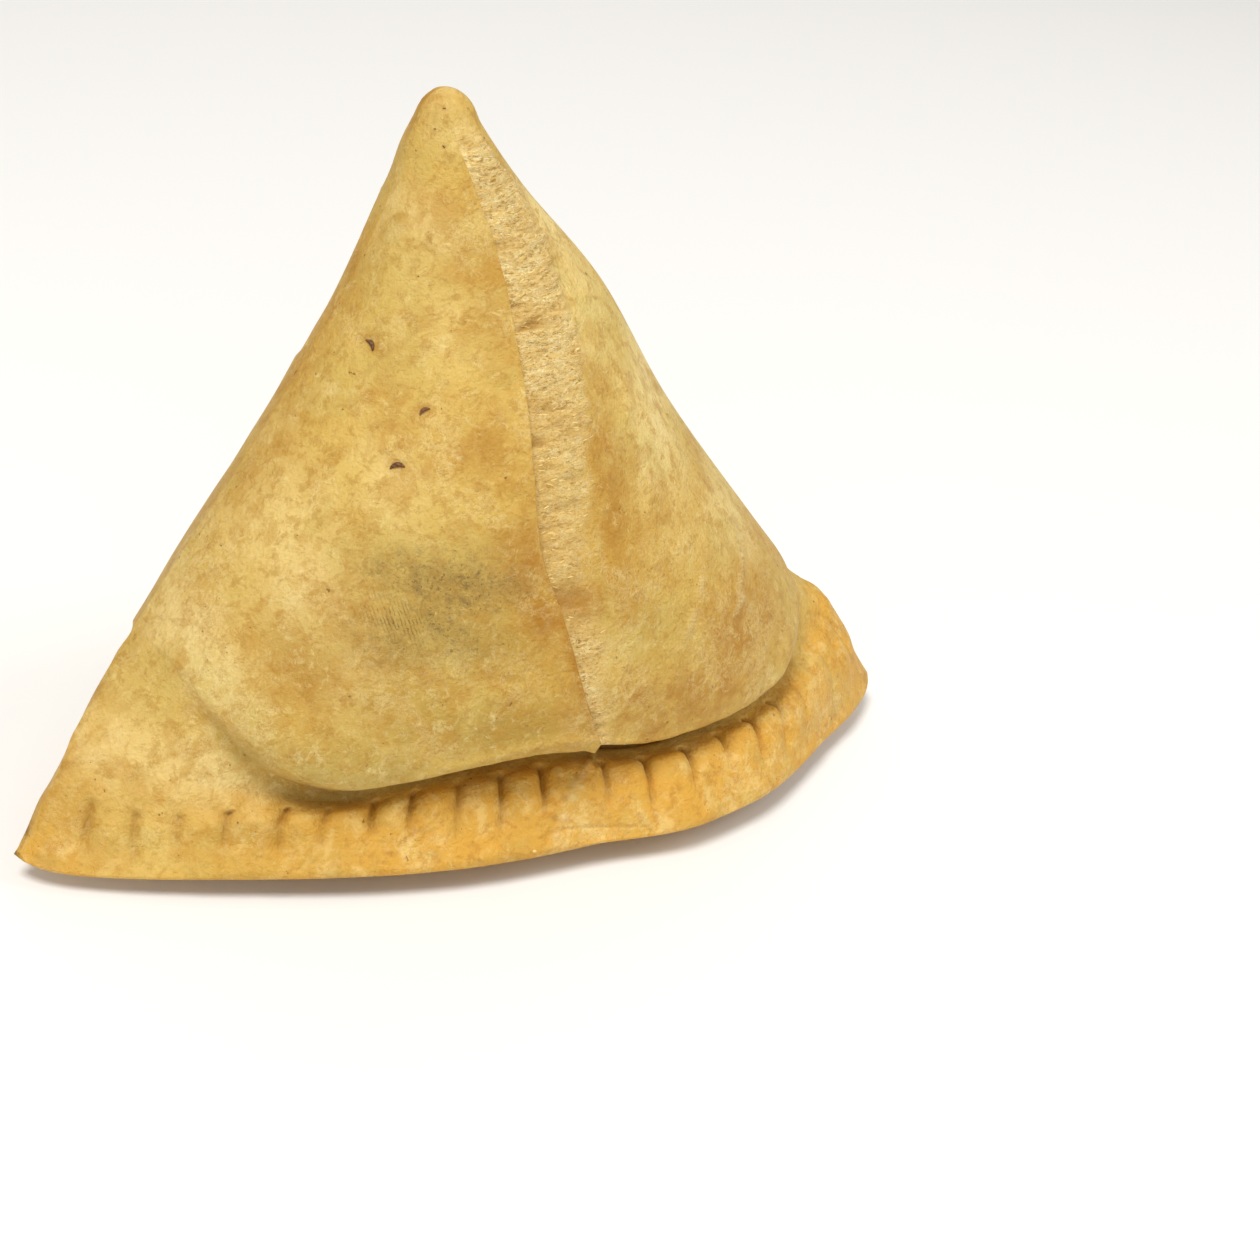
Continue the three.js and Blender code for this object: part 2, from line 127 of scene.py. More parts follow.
# Row that lies on the crease, and the rows between which the grid bends to follow it.
CREASE_ROW = 0.84
BEND_FROM = 0.7
BEND_TO = 0.95
UNDERSIDE_ROW = 0.82
# How much of the belly's fullness runs on into the rim's left corner.
LEFT_CORNER_FULLNESS = 0.28
CORNER_ROUNDING = 0.018
CORNER_SQUARENESS = 24

FRONT_ROWS = 330
FRONT_COLUMNS = 248
BACK_ROWS = 112
BACK_COLUMNS = 112
# Width of the column of faces that makes the step at the edge of the lapped sheet.
LAP_EDGE_WIDTH = 0.003
# How many random heights the unevenness draws on, and what mixes a place into their numbers.
RANDOM_HEIGHTS = 8192
PLACE_MIXERS = (73856093, 19349663, 83492791)
# Keeps the pattern of the back apart from that of the front.
BACK_PATTERN_OFFSET = 50

# Length of the front from tip to rim edge.
SLANT = 112.0

# Fine lines scored in the skin beside the stain: their spacing, and the patch that they fill.
COMB_PITCH = 0.42
COMB_PATCH = (0.644, -0.496, 2.6, 3.2)
# Shallow dent in the belly near its left fold.
DENT_PATCH = (0.66, -0.9, 4.0, 3.5)
# Row of the brown gap in the flaky strip.
GAP_ROW = 0.636

# Patches of tone: row, column, half height and half width in millimetres, strength.
TOASTED_AND_SHADE_SPOTS = (
    (0.72, -0.7, 4.5, 4.5, 0.5),
    (0.626, -0.656, 3.0, 4.0, 0.35),
    (0.636, 0.07, 3.0, 4.5, 1.0),
    (0.65, -0.06, 4.0, 3.0, 1.0),
    (0.59, -0.1, 7.0, 3.0, 0.85),
    (0.575, -0.05, 5.0, 2.5, 1.0),
    (0.3, -0.12, 9.0, 3.0, 0.4),
    (0.2, -0.35, 6.0, 4.0, 0.4),
    (0.42, -0.63, 5.0, 4.0, 0.4),
    (0.44, -0.4, 6.0, 5.0, 0.3),
    (0.45, -0.26, 6.0, 6.0, 0.5),
    (0.52, 0.36, 13.0, 2.6, 0.75),
    (0.62, 0.26, 7.0, 4.0, 0.5),
    # These three, low on the belly's right where it faces down, are partly painted shade.
    (0.74, 0.6, 6.0, 9.0, 0.85),
    (0.79, 0.35, 6.0, 14.0, 0.8),
    (0.775, 0.16, 5.0, 5.0, 0.75),
)
PALE_SPOTS = (
    (0.87, -0.8, 6.0, 12.0, 0.8),
    (0.89, -0.92, 8.0, 5.0, 0.85),
    (0.71, -0.93, 8.0, 4.0, 0.8),
    (0.6, -0.8, 14.0, 7.0, 0.6),
    (0.17, -0.75, 6.0, 4.0, 0.6),
    (0.03, -0.5, 5.0, 3.0, 0.4),
    (0.3, 0.75, 12.0, 4.0, 0.7),
    (0.45, 0.85, 14.0, 6.0, 0.9),
    (0.2, 0.85, 12.0, 4.0, 0.9),
    (0.28, -0.55, 8.0, 5.0, 0.3),
    (0.22, -0.8, 7.0, 3.0, 0.4),
    (0.62, 0.85, 8.0, 6.0, 0.7),
    (0.5, -0.6, 6.0, 4.0, 0.4),
)
# Olive patches: partly the dough's own tone, and those near rows 0.74 to 0.8 partly painted shade
# where the belly turns down to the rim.
OLIVE_AND_SHADE_SPOTS = (
    (0.8, -0.62, 5.0, 14.0, 1.0),
    (0.79, -0.3, 5.0, 14.0, 0.9),
    (0.77, -0.8, 6.0, 6.0, 0.5),
    (0.67, -0.33, 6.0, 10.0, 0.7),
    (0.7, -0.72, 6.0, 5.0, 0.6),
    (0.74, -0.43, 5.0, 9.0, 0.7),
    (0.7, 0.29, 6.0, 5.0, 0.6),
    (0.58, -0.4, 7.0, 8.0, 0.4),
    (0.66, -0.9, 4.0, 4.0, 0.2),
    (0.68, -0.55, 6.0, 6.0, 0.5),
)
HERB_SPOTS = (
    (0.605, -0.3, 4.2, 6.0, 0.95),
    (0.635, -0.37, 4.5, 4.0, 0.85),
    (0.595, -0.46, 3.5, 5.0, 0.8),
    (0.67, -0.5, 4.0, 5.0, 0.6),
    (0.605, -0.17, 3.0, 4.0, 0.6),
    (0.67, -0.3, 3.5, 6.0, 0.45),
)

# Carom seeds: ribs round a seed, and how far its middle stands above the skin.
SEED_RIBS = 7.0
SEED_LIFT = 0.08
# Each seed's row, column, turn in radians and size.
SEED_PLACES = (
    (0.338, -0.85, 0.75, 1.0), (0.403, -0.535, -0.5, 0.85), (0.468, -0.595, 0.05, 1.05),
    (0.022, -0.255, 0.2, 0.25), (0.065, -0.35, 0.9, 0.25),
)
BACK_SEED_PLACES = (
    (0.3, 0.2, 0.4, 0.9), (0.42, -0.35, -0.9, 1.0), (0.55, 0.5, 1.3, 0.85), (0.66, -0.1, 0.1, 1.0),
    (0.6, -0.62, 2.0, 0.8), (0.74, 0.3, -0.4, 0.9),
)

# Thin lines in the skin, each a run of places on the grid: row, column.
WRINKLES = (
    ((0.646, 0.808), (0.67, 0.772), (0.69, 0.704), (0.714, 0.636)),
    ((0.662, 0.568), (0.682, 0.508), (0.708, 0.436), (0.73, 0.376), (0.73, 0.34)),
    ((0.69, 0.704), (0.7, 0.66), (0.712, 0.67), (0.722, 0.6)),
    ((0.86, 0.03), (0.886, -0.008), (0.924, -0.062), (0.955, -0.083), (0.98, -0.102)),
)
CRACKS = (
    ((0.255, -0.79), (0.275, -0.8), (0.29, -0.82), (0.315, -0.84), (0.33, -0.85)),
    ((0.3, -0.6), (0.33, -0.7), (0.35, -0.79), (0.385, -0.86)),
    ((0.185, -0.66), (0.21, -0.7), (0.24, -0.77)),
)
RIM_FOLDS = (
    ((0.852, 0.024), (0.886, -0.024), (0.924, -0.08), (0.955, -0.1), (0.98, -0.12)),
    ((0.975, -0.13), (0.968, -0.08), (0.972, -0.02), (0.978, 0.05), (0.985, 0.12)),
    ((0.94, -0.385), (0.955, -0.41), (0.97, -0.43), (0.985, -0.45)),
    ((0.93, -0.36), (0.945, -0.37), (0.955, -0.385)),
    ((0.97, -0.345), (0.985, -0.36)),
)
# Valley between the belly and the left ear of the rim, and the swelling of the belly above it.
VALLEY = (
    (0.815, -0.976), (0.82, -0.936), (0.825, -0.884), (0.832, -0.82), (0.842, -0.756),
    (0.848, -0.68), (0.852, -0.616), (0.86, -0.548), (0.864, -0.5),
)
SWELLING = (
    (0.775, -0.8), (0.79, -0.73), (0.8, -0.65), (0.805, -0.58),
)


# Form of the dough

def smooth(start, end, value):
    t = np.clip((value - start) / (end - start), 0, 1)
    return t * t * (3 - 2 * t)


def pulse(value, centre, width):
    return np.exp(-(((value - centre) / width) ** 2))


def curve_through(rows, column):
    """Smooth curve through one column of a table, with the slope of its neighbours."""
    keys = np.array([row[0] for row in rows], float)
    values = np.array([np.atleast_1d(row[column]) for row in rows], float)
    gap = np.diff(keys)[:, None]
    rise = np.diff(values, axis=0) / gap
    inner = (rise[:-1] * gap[1:] + rise[1:] * gap[:-1]) / (gap[1:] + gap[:-1])
    slope = np.vstack([rise[:1], inner, rise[-1:]])

    def at(where):
        where = np.asarray(where, float)
        i = np.clip(np.searchsorted(keys, where, side="right") - 1, 0, len(keys) - 2)
        t = np.clip((where - keys[i]) / gap[i, 0], 0, 1)[..., None]
        leave, arrive = slope[i] * gap[i], slope[i + 1] * gap[i]
        return (values[i] * (2 * t**3 - 3 * t**2 + 1) + leave * (t**3 - 2 * t**2 + t)
                + values[i + 1] * (3 * t**2 - 2 * t**3) + arrive * (t**3 - t**2))

    return at


left_fold = curve_through(SECTIONS, 1)
right_fold = curve_through(SECTIONS, 2)
belly_middle = curve_through(SECTIONS, 3)
back_middle = curve_through(SECTIONS, 4)
roundness = curve_through(SECTIONS, 5)
rim_middle = curve_through(RIM_SECTIONS, 1)
rim_roundness = curve_through(RIM_SECTIONS, 2)
crease_curve = curve_through(CREASE, 1)
seam_curve = curve_through(SEAM, 1)
strip_curve = curve_through(STRIP_EDGE, 1)


def section_point(down, across, middle, round_here):
    left, right = left_fold(down), right_fold(down)
    centre = (left + right) / 2
    bulge = np.clip(1 - across**2, 0, 1) ** (round_here / 2)
    return centre + (right - left) * across[..., None] / 2 + (middle - centre) * bulge[..., None]


def rim_point(down, across):
    """Middle surface of the pressed rim."""
    point = section_point(down, across, rim_middle(down), rim_roundness(down)[..., 0])
    wider = smooth(-0.05, 0.25, across) * (1 - smooth(0.4, 0.75, across))
    narrower = smooth(0.2, 0.75, -across)
    shift = RIM_NARROWER_ON_LEFT * narrower - RIM_WIDER_ON_RIGHT * wider
    point[..., 1] += shift * smooth(0.84, 1, down)
    return point


def rounded_corner(down, across):
    return down - CORNER_ROUNDING * np.abs(across) ** CORNER_SQUARENESS * smooth(0.8, 1, down)


def crease_half_height(across):
    left_softness = 0.014 * (1 - smooth(-0.6, -0.42, across))
    corner = np.abs(across)
    corner_softness = 0.03 * smooth(0.6, 0.85, corner) + 0.05 * smooth(0.85, 1, corner)
    right_softness = 0.008 * smooth(0.25, 0.5, across)
    return 0.004 + left_softness + corner_softness + right_softness


def down_at(row, column):
    bend = smooth(BEND_FROM, CREASE_ROW, row) * (1 - smooth(CREASE_ROW, BEND_TO, row))
    hem = np.where(column < 0, HEM_RISE * smooth(-0.35, -0.1, column), 0)
    return row + (crease_curve(column)[..., 0] - hem - CREASE_ROW) * bend


def across_at(row, column):
    lean = -CRIMP_LEAN * column * (1 - np.abs(column) ** 12)
    lean = lean * (down_at(row, column) - 0.93) * smooth(0.84, 0.92, row)
    wander = seam_curve(row)[..., 0] * (1 - column**2)
    return column + lean + wander


def front_point(row, column):
    across = across_at(row, column)
    down = rounded_corner(down_at(row, column), across)
    pouch = section_point(down, across, belly_middle(down), roundness(down)[..., 0])
    rim = rim_point(down, across)
    half = crease_half_height(column)
    full = LEFT_CORNER_FULLNESS * smooth(0.55, 0.85, -column) * (1 - smooth(0.86, 0.96, row))
    share = smooth(-half, half, row - CREASE_ROW) * (1 - full)
    return pouch + (rim - pouch) * share[..., None]


def back_point(row, column):
    end = np.where(column < 0, -1, 1)
    down = rounded_corner(down_at(row, end * smooth(0, 1, np.abs(column))), column)
    pouch = section_point(down, column, back_middle(down), roundness(down)[..., 1])
    rim = rim_point(down, column)
    start = 0.5 * (1 - smooth(0.86, 0.98, row))
    pressed = smooth(0.78, 0.9, row) * smooth(start, start + 0.45, np.abs(column))
    return pouch + (rim - pouch) * pressed[..., None]


def outward(sheet, row, column, facing):
    step = 0.001
    across = sheet(row, np.minimum(1, column + step)) - sheet(row, np.maximum(-1, column - step))
    down = sheet(np.minimum(1, row + step), column) - sheet(np.maximum(0, row - step), column)
    normal = np.cross(down, across) * facing
    return normal / np.maximum(np.linalg.norm(normal, axis=-1, keepdims=True), 1e-12)


def half_thickness(sheet, row, column, point, pressed_from):
    half = RIM_THICKNESS / 2
    total = half * smooth(pressed_from, pressed_from + 0.05, row)
    total = total * (1 - EDGE_TAPER * smooth(0.9, 0.99, row))
    edges = ((np.ones_like(row), column), (row, -np.ones_like(row)), (row, np.ones_like(row)))
    for edge in edges:
        inside = np.clip(np.linalg.norm(point - sheet(*edge), axis=-1) / half, 0, 1)
        total = total * np.sqrt(1 - (1 - inside) ** 2)
    return total


def lap_relief(row, column):
    above = 1 - smooth(-0.004, 0.004, row - CREASE_ROW)
    step = LAP_STEP_AT_TIP + (LAP_STEP_AT_MOUTH - LAP_STEP_AT_TIP) * smooth(0.1, 0.75, row)
    step = step * smooth(0, 0.08, row) * (1 - smooth(0, 0.5, -column)) * above
    return np.where(column < 0, step, 0)


def crimp_columns():
    turns = list(CRIMP_TURNS)
    while turns[-1] + CRIMP_PITCH < LAST_CRIMP_TURN:
        turns.append(turns[-1] + CRIMP_PITCH)
    return [-math.cos(turn) for turn in turns]


crimps = crimp_columns()


def tuck_relief(row, column):
    height = smooth(0.5, 0.74, row) * (1 - smooth(0.8, 0.86, row))
    return height * (0.7 * pulse(column, -0.1, 0.15) - 0.9 * pulse(column, 0.1, 0.12))


# Unevenness

def lumps(points, size, seed):
    """Smooth random height from -1 to 1 whose lumps are about that many millimetres apart."""
    heights = np.random.default_rng(seed).uniform(-1, 1, RANDOM_HEIGHTS)
    scaled = points / size
    cell = np.floor(scaled).astype(np.int64)
    part = scaled - cell
    part = part * part * (3 - 2 * part)
    total = np.zeros(points.shape[:-1])
    for corner in itertools.product((0, 1), repeat=3):
        at = cell + np.array(corner)
        key = np.bitwise_xor.reduce(at * np.array(PLACE_MIXERS), axis=-1)
        share = np.prod(np.where(np.array(corner) == 1, part, 1 - part), axis=-1)
        total += share * heights[key % RANDOM_HEIGHTS]
    return total


def crimp_groove(row, column, half_width, slit):
    """How deep the crimps are in millimetres: a slit at their upper end, or the whole valley."""
    start = CRIMP_START + LEFT_CRIMPS_LOWER * smooth(0.6, 0.85, -column)
    length = smooth(start, start + 0.012, row)
    if slit:
        length = length * (1 - 0.5 * smooth(start + 0.02, start + 0.055, row))
    else:
        length = length * (1 - 0.4 * smooth(0.9, 0.94, row))
    total = np.zeros_like(row)
    for number, crimp in enumerate(crimps):
        depth = 1 + CRIMP_VARIATION * math.sin(2.1 * number + 0.5)
        depth *= (0.7 + 0.3 * smooth(-0.8, -0.6, crimp)) * (1 - 0.7 * smooth(0.5, 0.75, crimp))
        end = 0.95 + 0.024 * smooth(0.5, 0.75, -crimp) + 0.01 * math.sin(1.7 * number)
        depth = depth * (1 - smooth(end - 0.018, end + 0.012, row))
        total += depth * pulse(column, crimp, half_width)
    return total * length


def pillow_height(row, column):
    """Dough pushed up between the crimps, each pillow a little higher or lower."""
    uneven_row = np.stack([0 * row, column * 30, 0 * row], -1)
    start = CRIMP_START - 0.004 + LEFT_CRIMPS_LOWER * smooth(0.6, 0.85, -column)
    height = smooth(start, start + 0.03, row) * (1 - smooth(0.91, 0.99, row))
    lower_at_left = 0.3 + 0.7 * smooth(-0.93, -0.65, column)
    return height * lower_at_left * (1 + 0.35 * lumps(uneven_row, 3.1, 13))


def spread(start, end, count, density):
    """Values from start to end that lie closer together where the density is higher."""
    fine = np.linspace(start, end, 20001)
    weight = density(fine)
    total = np.concatenate([[0], np.cumsum((weight[1:] + weight[:-1]) / 2)])
    return np.interp(np.linspace(0, total[-1], count), total, fine)


def row_density(row):
    return (1 + 5 * pulse(row, 0, 0.012) + 3.5 * pulse(row, CREASE_ROW, 0.01)
            + 0.6 * smooth(0.86, 0.9, row) + 3 * pulse(row, 1, 0.01))


def column_density(column):
    strip = smooth(-0.06, 0.02, column) * (1 - smooth(0.3, 0.75, column))
    total = 1 + 1.3 * strip + 3 * pulse(column, 0, 0.012) + 0.8 * np.abs(column) ** 8
    for crimp in crimps:
        total = total + 3.2 * pulse(column, crimp, 0.01)
    return total


def sheet_place(row, column):
    """Millimetres down and across the sheet, for patterns that follow the dough."""
    down = down_at(row, column)
    half_width = np.linalg.norm(right_fold(down) - left_fold(down), axis=-1) / 2
    return down * SLANT, column * half_width


def near_line(line, down_mm, across_mm, width):
    """1 on a line through the places, and 0 further away than about twice the width."""
    rows, columns = np.array(line).T
    steps = np.linspace(0, len(line) - 1, 12 * (len(line) - 1) + 1)
    rows = np.interp(steps, np.arange(len(line)), rows)
    columns = np.interp(steps, np.arange(len(line)), columns)
    downs, acrosses = sheet_place(rows, columns)
    nearest = np.full(down_mm.shape, np.inf)
    for one_down, one_across in zip(downs, acrosses):
        away = (down_mm - one_down) ** 2 + (across_mm - one_across) ** 2
        nearest = np.minimum(nearest, away)
    return np.exp(-nearest / width**2)


def near_lines(lines, down_mm, across_mm, width):
    return np.maximum.reduce([near_line(line, down_mm, across_mm, width) for line in lines])


def patch(down_mm, across_mm, row, column, tall, wide):
    """Soft round patch: middle on the grid, and its two half sizes in millimetres."""
    down_middle, across_middle = sheet_place(np.array(row), np.array(column))
    away = ((down_mm - down_middle) / tall) ** 2 + ((across_mm - across_middle) / wide) ** 2
    return np.exp(-away)


def strip_share(row, column, down_mm, across_mm):
    """1 on the flaky strip beside the seam, with ragged sides."""
    flat = np.stack([down_mm, across_mm * 0.4, np.zeros_like(down_mm)], -1)
    ragged = 0.035 * lumps(flat, 1.1, 21) + 0.025 * lumps(flat, 3.0, 22)
    edge = strip_curve(row)[..., 0]
    narrow = np.minimum(0.05, edge * 0.5)
    right_side = 1 - smooth(edge - narrow, edge + narrow, column + ragged * np.minimum(1, edge * 4))
    below_tip = smooth(0.03, 0.08, row)
    above_rim = 1 - smooth(0.83, 0.845, row)
    return smooth(-0.002, 0.006, column) * right_side * below_tip * above_rim


def spots_share(spots, down_mm, across_mm):
    """Strongest of the soft patches in a table, at each place."""
    total = np.zeros(down_mm.shape)
    for *where, strength in spots:
        total = np.maximum(total, strength * patch(down_mm, across_mm, *where))
    return total


def strip_details(row, column, down_mm, across_mm):
    """Flaky strip: its relief in millimetres, its mask, and how far its skin is split."""
    strip = strip_share(row, column, down_mm, across_mm)
    gap = pulse(row, GAP_ROW, 0.022) * (1 - smooth(0.1, 0.17, column))
    # More golden from the middle down to the gap, and lightest below it.
    golden = 0.2 * smooth(0.28, 0.42, row) * (1 - smooth(0.64, 0.7, row))
    light = 1 - 0.35 * smooth(0.3, 0.56, row) + 0.3 * smooth(0.65, 0.68, row)

    # Ridges across the strip, about a millimetre apart, with deeper splits between some.
    across_grain = np.stack([down_mm, across_mm * 0.3, np.zeros_like(down_mm)], -1)
    ridges = lumps(across_grain, 0.85, 5) + 0.6 * lumps(across_grain + 40, 0.5, 6)
    torn = smooth(0.22, 0.32, row) * (1 - smooth(0.48, 0.62, row)) * (1 - smooth(0.12, 0.3, column))
    splits = smooth(0.1, 0.55, lumps(across_grain, 1.5, 7)) * (0.2 + 0.8 * torn)
    splits = splits * smooth(-0.3, 0.4, lumps(across_grain + 90, 1.0, 8))
    relief = strip * (0.17 * ridges - 0.38 * splits - 0.3 * gap + 0.1)
    split = strip * np.maximum.reduce([splits, 0.9 * gap, golden])
    return relief, strip * (1 - 0.8 * gap) * light, split


def lap_and_lip_relief(row, column, across_mm, lip, on_belly):
    """Raised cut edge of the lapped sheet, and the belly's lip with the gap under it."""
    lap_edge = np.where(column < 0, np.exp(-((across_mm / 0.7) ** 2)), 0) * smooth(0.15, 0.4, row)
    edge_height = 0.16 + 0.2 * smooth(0.6, 0.75, row)
    return (edge_height * lap_edge * on_belly + 0.25 * lip * pulse(row, 0.832, 0.006)
            - 1.5 * lip * pulse(row, 0.8455, 0.004))


def rim_relief(row, column, across_mm, point, slit, valley):
    """Pressed rim: crimps, the pillows between them, small lumps, and a wavy edge."""
    crimped = PILLOW_HEIGHT * pillow_height(row, column) - VALLEY_DEPTH * valley - SLIT_DEPTH * slit
    on_rim = smooth(0.87, 0.89, row) * (1 - smooth(0.985, 1, row))
    lumpy = on_rim * (0.22 * lumps(point, 4.2, 9) + 0.1 * lumps(point, 1.7, 10))
    along_edge = np.stack([0 * across_mm, across_mm, 0 * across_mm], -1)
    at_edge = smooth(0.95, 0.99, row) * (1 - smooth(0.992, 1, row))
    return crimped + lumpy + 0.35 * lumps(along_edge, 5.5, 12) * at_edge


def front_details(row, column, point):
    """Relief of the front sheet in millimetres, and the masks that its material reads."""
    down_mm, across_mm = sheet_place(row, column)
    flat = np.stack([down_mm, across_mm, np.zeros_like(down_mm)], -1)
    on_belly = 1 - smooth(0.83, 0.85, row)
    inside = smooth(0, 0.12, 1 - np.abs(column)) * smooth(0, 0.05, row)
    # The filled belly overhangs the rim, except near the two corners.
    lip = smooth(-0.5, -0.3, column) * (1 - smooth(0.75, 0.95, column))
    strip_relief, strip, split = strip_details(row, column, down_mm, across_mm)
    slit = crimp_groove(row, column, SLIT_HALF_WIDTH, True)
    valley = crimp_groove(row, column, VALLEY_HALF_WIDTH, False)

    relief = lap_relief(row, column)
    relief = relief + inside * on_belly * (0.5 * lumps(point, 17, 1) + 0.2 * lumps(point, 7, 2))
    relief = relief + inside * (0.09 * lumps(point, 2.6, 3) + 0.045 * lumps(point, 1.2, 4))
    relief = relief + strip_relief + lap_and_lip_relief(row, column, across_mm, lip, on_belly)
    relief = relief + rim_relief(row, column, across_mm, point, slit, valley)
    relief = relief + inside * on_belly * blisters(down_mm, across_mm, 26, 41)

    # Lines and dents in the skin. Those on the belly are broken up, and the rim's are not.
    wrinkle = near_lines(WRINKLES, down_mm, across_mm, 0.32)
    wrinkle = wrinkle * np.where(row < CREASE_ROW, smooth(-0.9, 0.1, lumps(flat, 1.7, 14)), 1)
    crack = near_lines(CRACKS, down_mm, across_mm, 0.26)
    crack = crack * smooth(-0.6, 0.3, lumps(flat, 1.6, 11))
    rim_fold = near_lines(RIM_FOLDS, down_mm, across_mm, 0.24)
    relief = relief + 0.35 * wrinkle - 0.14 * crack - 0.26 * rim_fold
    hollow = near_line(VALLEY, down_mm, across_mm, 1.5) * smooth(-0.98, -0.8, column)
    swelling = near_line(SWELLING, down_mm, across_mm, 3.4)
    dent = patch(down_mm, across_mm, *DENT_PATCH)
    relief = relief + 0.6 * swelling - 0.95 * hollow - 0.35 * inside * dent
    seed_beds = np.maximum.reduce([patch(down_mm, across_mm, down, across, 1.1 * size, 1.1 * size)
                                   for down, across, turn, size in SEED_PLACES])
    relief = relief - 0.12 * seed_beds

    # Painted shadow: a thin dark band beside the edge of the lapped sheet, low on the belly.
    lap_edge_shadow = np.where(column >= 0, pulse(across_mm, 0.15, 0.3), 0) * smooth(0.64, 0.72, row)
    # Painted shade in the recesses: crimp slits and valleys, rim folds, cracks, and the gap under
    # the belly's lip.
    groove_shade = (0.75 * slit + 0.12 * valley + 0.55 * rim_fold + 0.45 * crack
              + 0.9 * lip * pulse(row, 0.846, 0.005) + lap_edge_shadow * on_belly)
    olive_and_shade = spots_share(OLIVE_AND_SHADE_SPOTS, down_mm, across_mm) * (1 - smooth(0.835, 0.85, row))
    paler_left = 0.65 * smooth(0.45, 0.75, -column)
    golden_corner = 0.5 * smooth(0.86, 0.97, -column) * smooth(0.93, 0.98, row)
    masks = {
        "strip": strip,
        "split": split,
        "groove_shade": np.clip(groove_shade, 0, 1),
        "light_line": np.clip(0.45 * wrinkle, 0, 1),
        "toasted_and_shade": np.maximum(toasted_and_shade_share(row, column, down_mm, across_mm), 0.8 * seed_beds),
        "pale": spots_share(PALE_SPOTS, down_mm, across_mm),
        # Painted shade in the valley between the belly and the left ear, over the olive patches.
        "olive_and_shade": np.maximum(olive_and_shade, 0.9 * hollow),
        "herb": spots_share(HERB_SPOTS, down_mm, across_mm),
        "comb": patch(down_mm, across_mm, *COMB_PATCH),
        "rim": smooth(0.855, 0.89, row) * (1 - paler_left + golden_corner),
        "crumb": smooth(0.975, 0.99, row) + 0.04 * smooth(0.9, 0.95, row),
    }
    return relief, masks


def blisters(down_mm, across_mm, count, seed):
    """Height of small blisters that steam has raised in the skin."""
    rng = np.random.default_rng(seed)
    height = np.zeros(down_mm.shape)
    for number in range(count):
        middle_down = rng.uniform(0.15, 0.78) * SLANT
        middle_across = rng.uniform(-0.8, 0.8) * middle_down * 0.5
        radius = rng.uniform(0.8, 2.4)
        away = (down_mm - middle_down) ** 2 + (across_mm - middle_across) ** 2
        dome = np.clip(1 - away / radius**2, 0, 1) ** 1.5
        height = np.maximum(height, dome * radius * rng.uniform(0.06, 0.13))
    return height


def toasted_and_shade_share(row, column, down_mm, across_mm):
    """Where the frying fat has browned the dough: seam, tip, folds, corners and rim, with patches
    of which a few low on the belly's right are painted shade.
    """
    cut = 0.8 * pulse(across_mm, -0.2, 0.6) + 0.45 * pulse(across_mm, -1.0, 2.8)
    cut = cut * (0.35 + 0.65 * smooth(0.5, 0.62, row))
    beside_seam = np.where(column < 0, np.minimum(1, cut), 0) * smooth(0.04, 0.2, row)
    beside_seam = beside_seam * (1 - smooth(0.8, 0.86, row))
    tip = 0.15 * (1 - smooth(0.02, 0.14, row))
    fold = 0.25 * smooth(0.88, 1, -column) * smooth(0.1, 0.3, row)
    corner = 0.5 * smooth(0.86, 0.98, np.abs(column)) * smooth(0.84, 0.94, row)
    spots = spots_share(TOASTED_AND_SHADE_SPOTS, down_mm, across_mm)
    return np.maximum.reduce([0.75 * beside_seam, tip, fold, corner, spots])


def fan(tip, ring):
    return [(tip, ring[j], ring[j + 1]) for j in range(len(ring) - 1)]


def quads(ids):
    corners = np.stack([ids[:-1, :-1], ids[1:, :-1], ids[1:, 1:], ids[:-1, 1:]], -1)
    return [tuple(face) for face in corners.reshape(-1, 4).tolist()]


def between(outer, outer_keys, inner, inner_keys):
    """Strip of triangles between two rows of points with different spacing."""
    faces = []
    o = i = 0
    while o < len(outer) - 1 or i < len(inner) - 1:
        next_outer = outer_keys[o + 1] if o < len(outer) - 1 else math.inf
        next_inner = inner_keys[i + 1] if i < len(inner) - 1 else math.inf
        if next_outer <= next_inner:
            faces.append((outer[o], inner[i], outer[o + 1]))
            o += 1
        else:
            faces.append((outer[o], inner[i], inner[i + 1]))
            i += 1
    return faces


def store_values(mesh, name, kind, values):
    layer = mesh.attributes.new(name, kind, "POINT")
    field = "value" if kind == "FLOAT" else "vector"
    layer.data.foreach_set(field, np.asarray(values, np.float32).ravel())


def laid_sheet(rows, columns, sheet, details, facing, pressed_from):
    """One sheet of dough on its grid: points, masks, and millimetres down and across itself."""
    row, column = np.meshgrid(rows, columns, indexing="ij")
    point = sheet(row, column)
    normal = outward(sheet, row, column, facing)
    thick = half_thickness(sheet, row, column, point, pressed_from)
    relief, masks = details(row, column, point)
    flat = np.stack([*sheet_place(row, column), 0 * row], -1)
    return point + normal * (thick + relief)[..., None], masks, flat


def per_point(front, back):
    """Values of both sheets in the order of the mesh's points, with the shared tip first."""
    kind = front.shape[2:]
    return np.concatenate([front[0, :1], front[1:].reshape(-1, *kind), back.reshape(-1, *kind)])


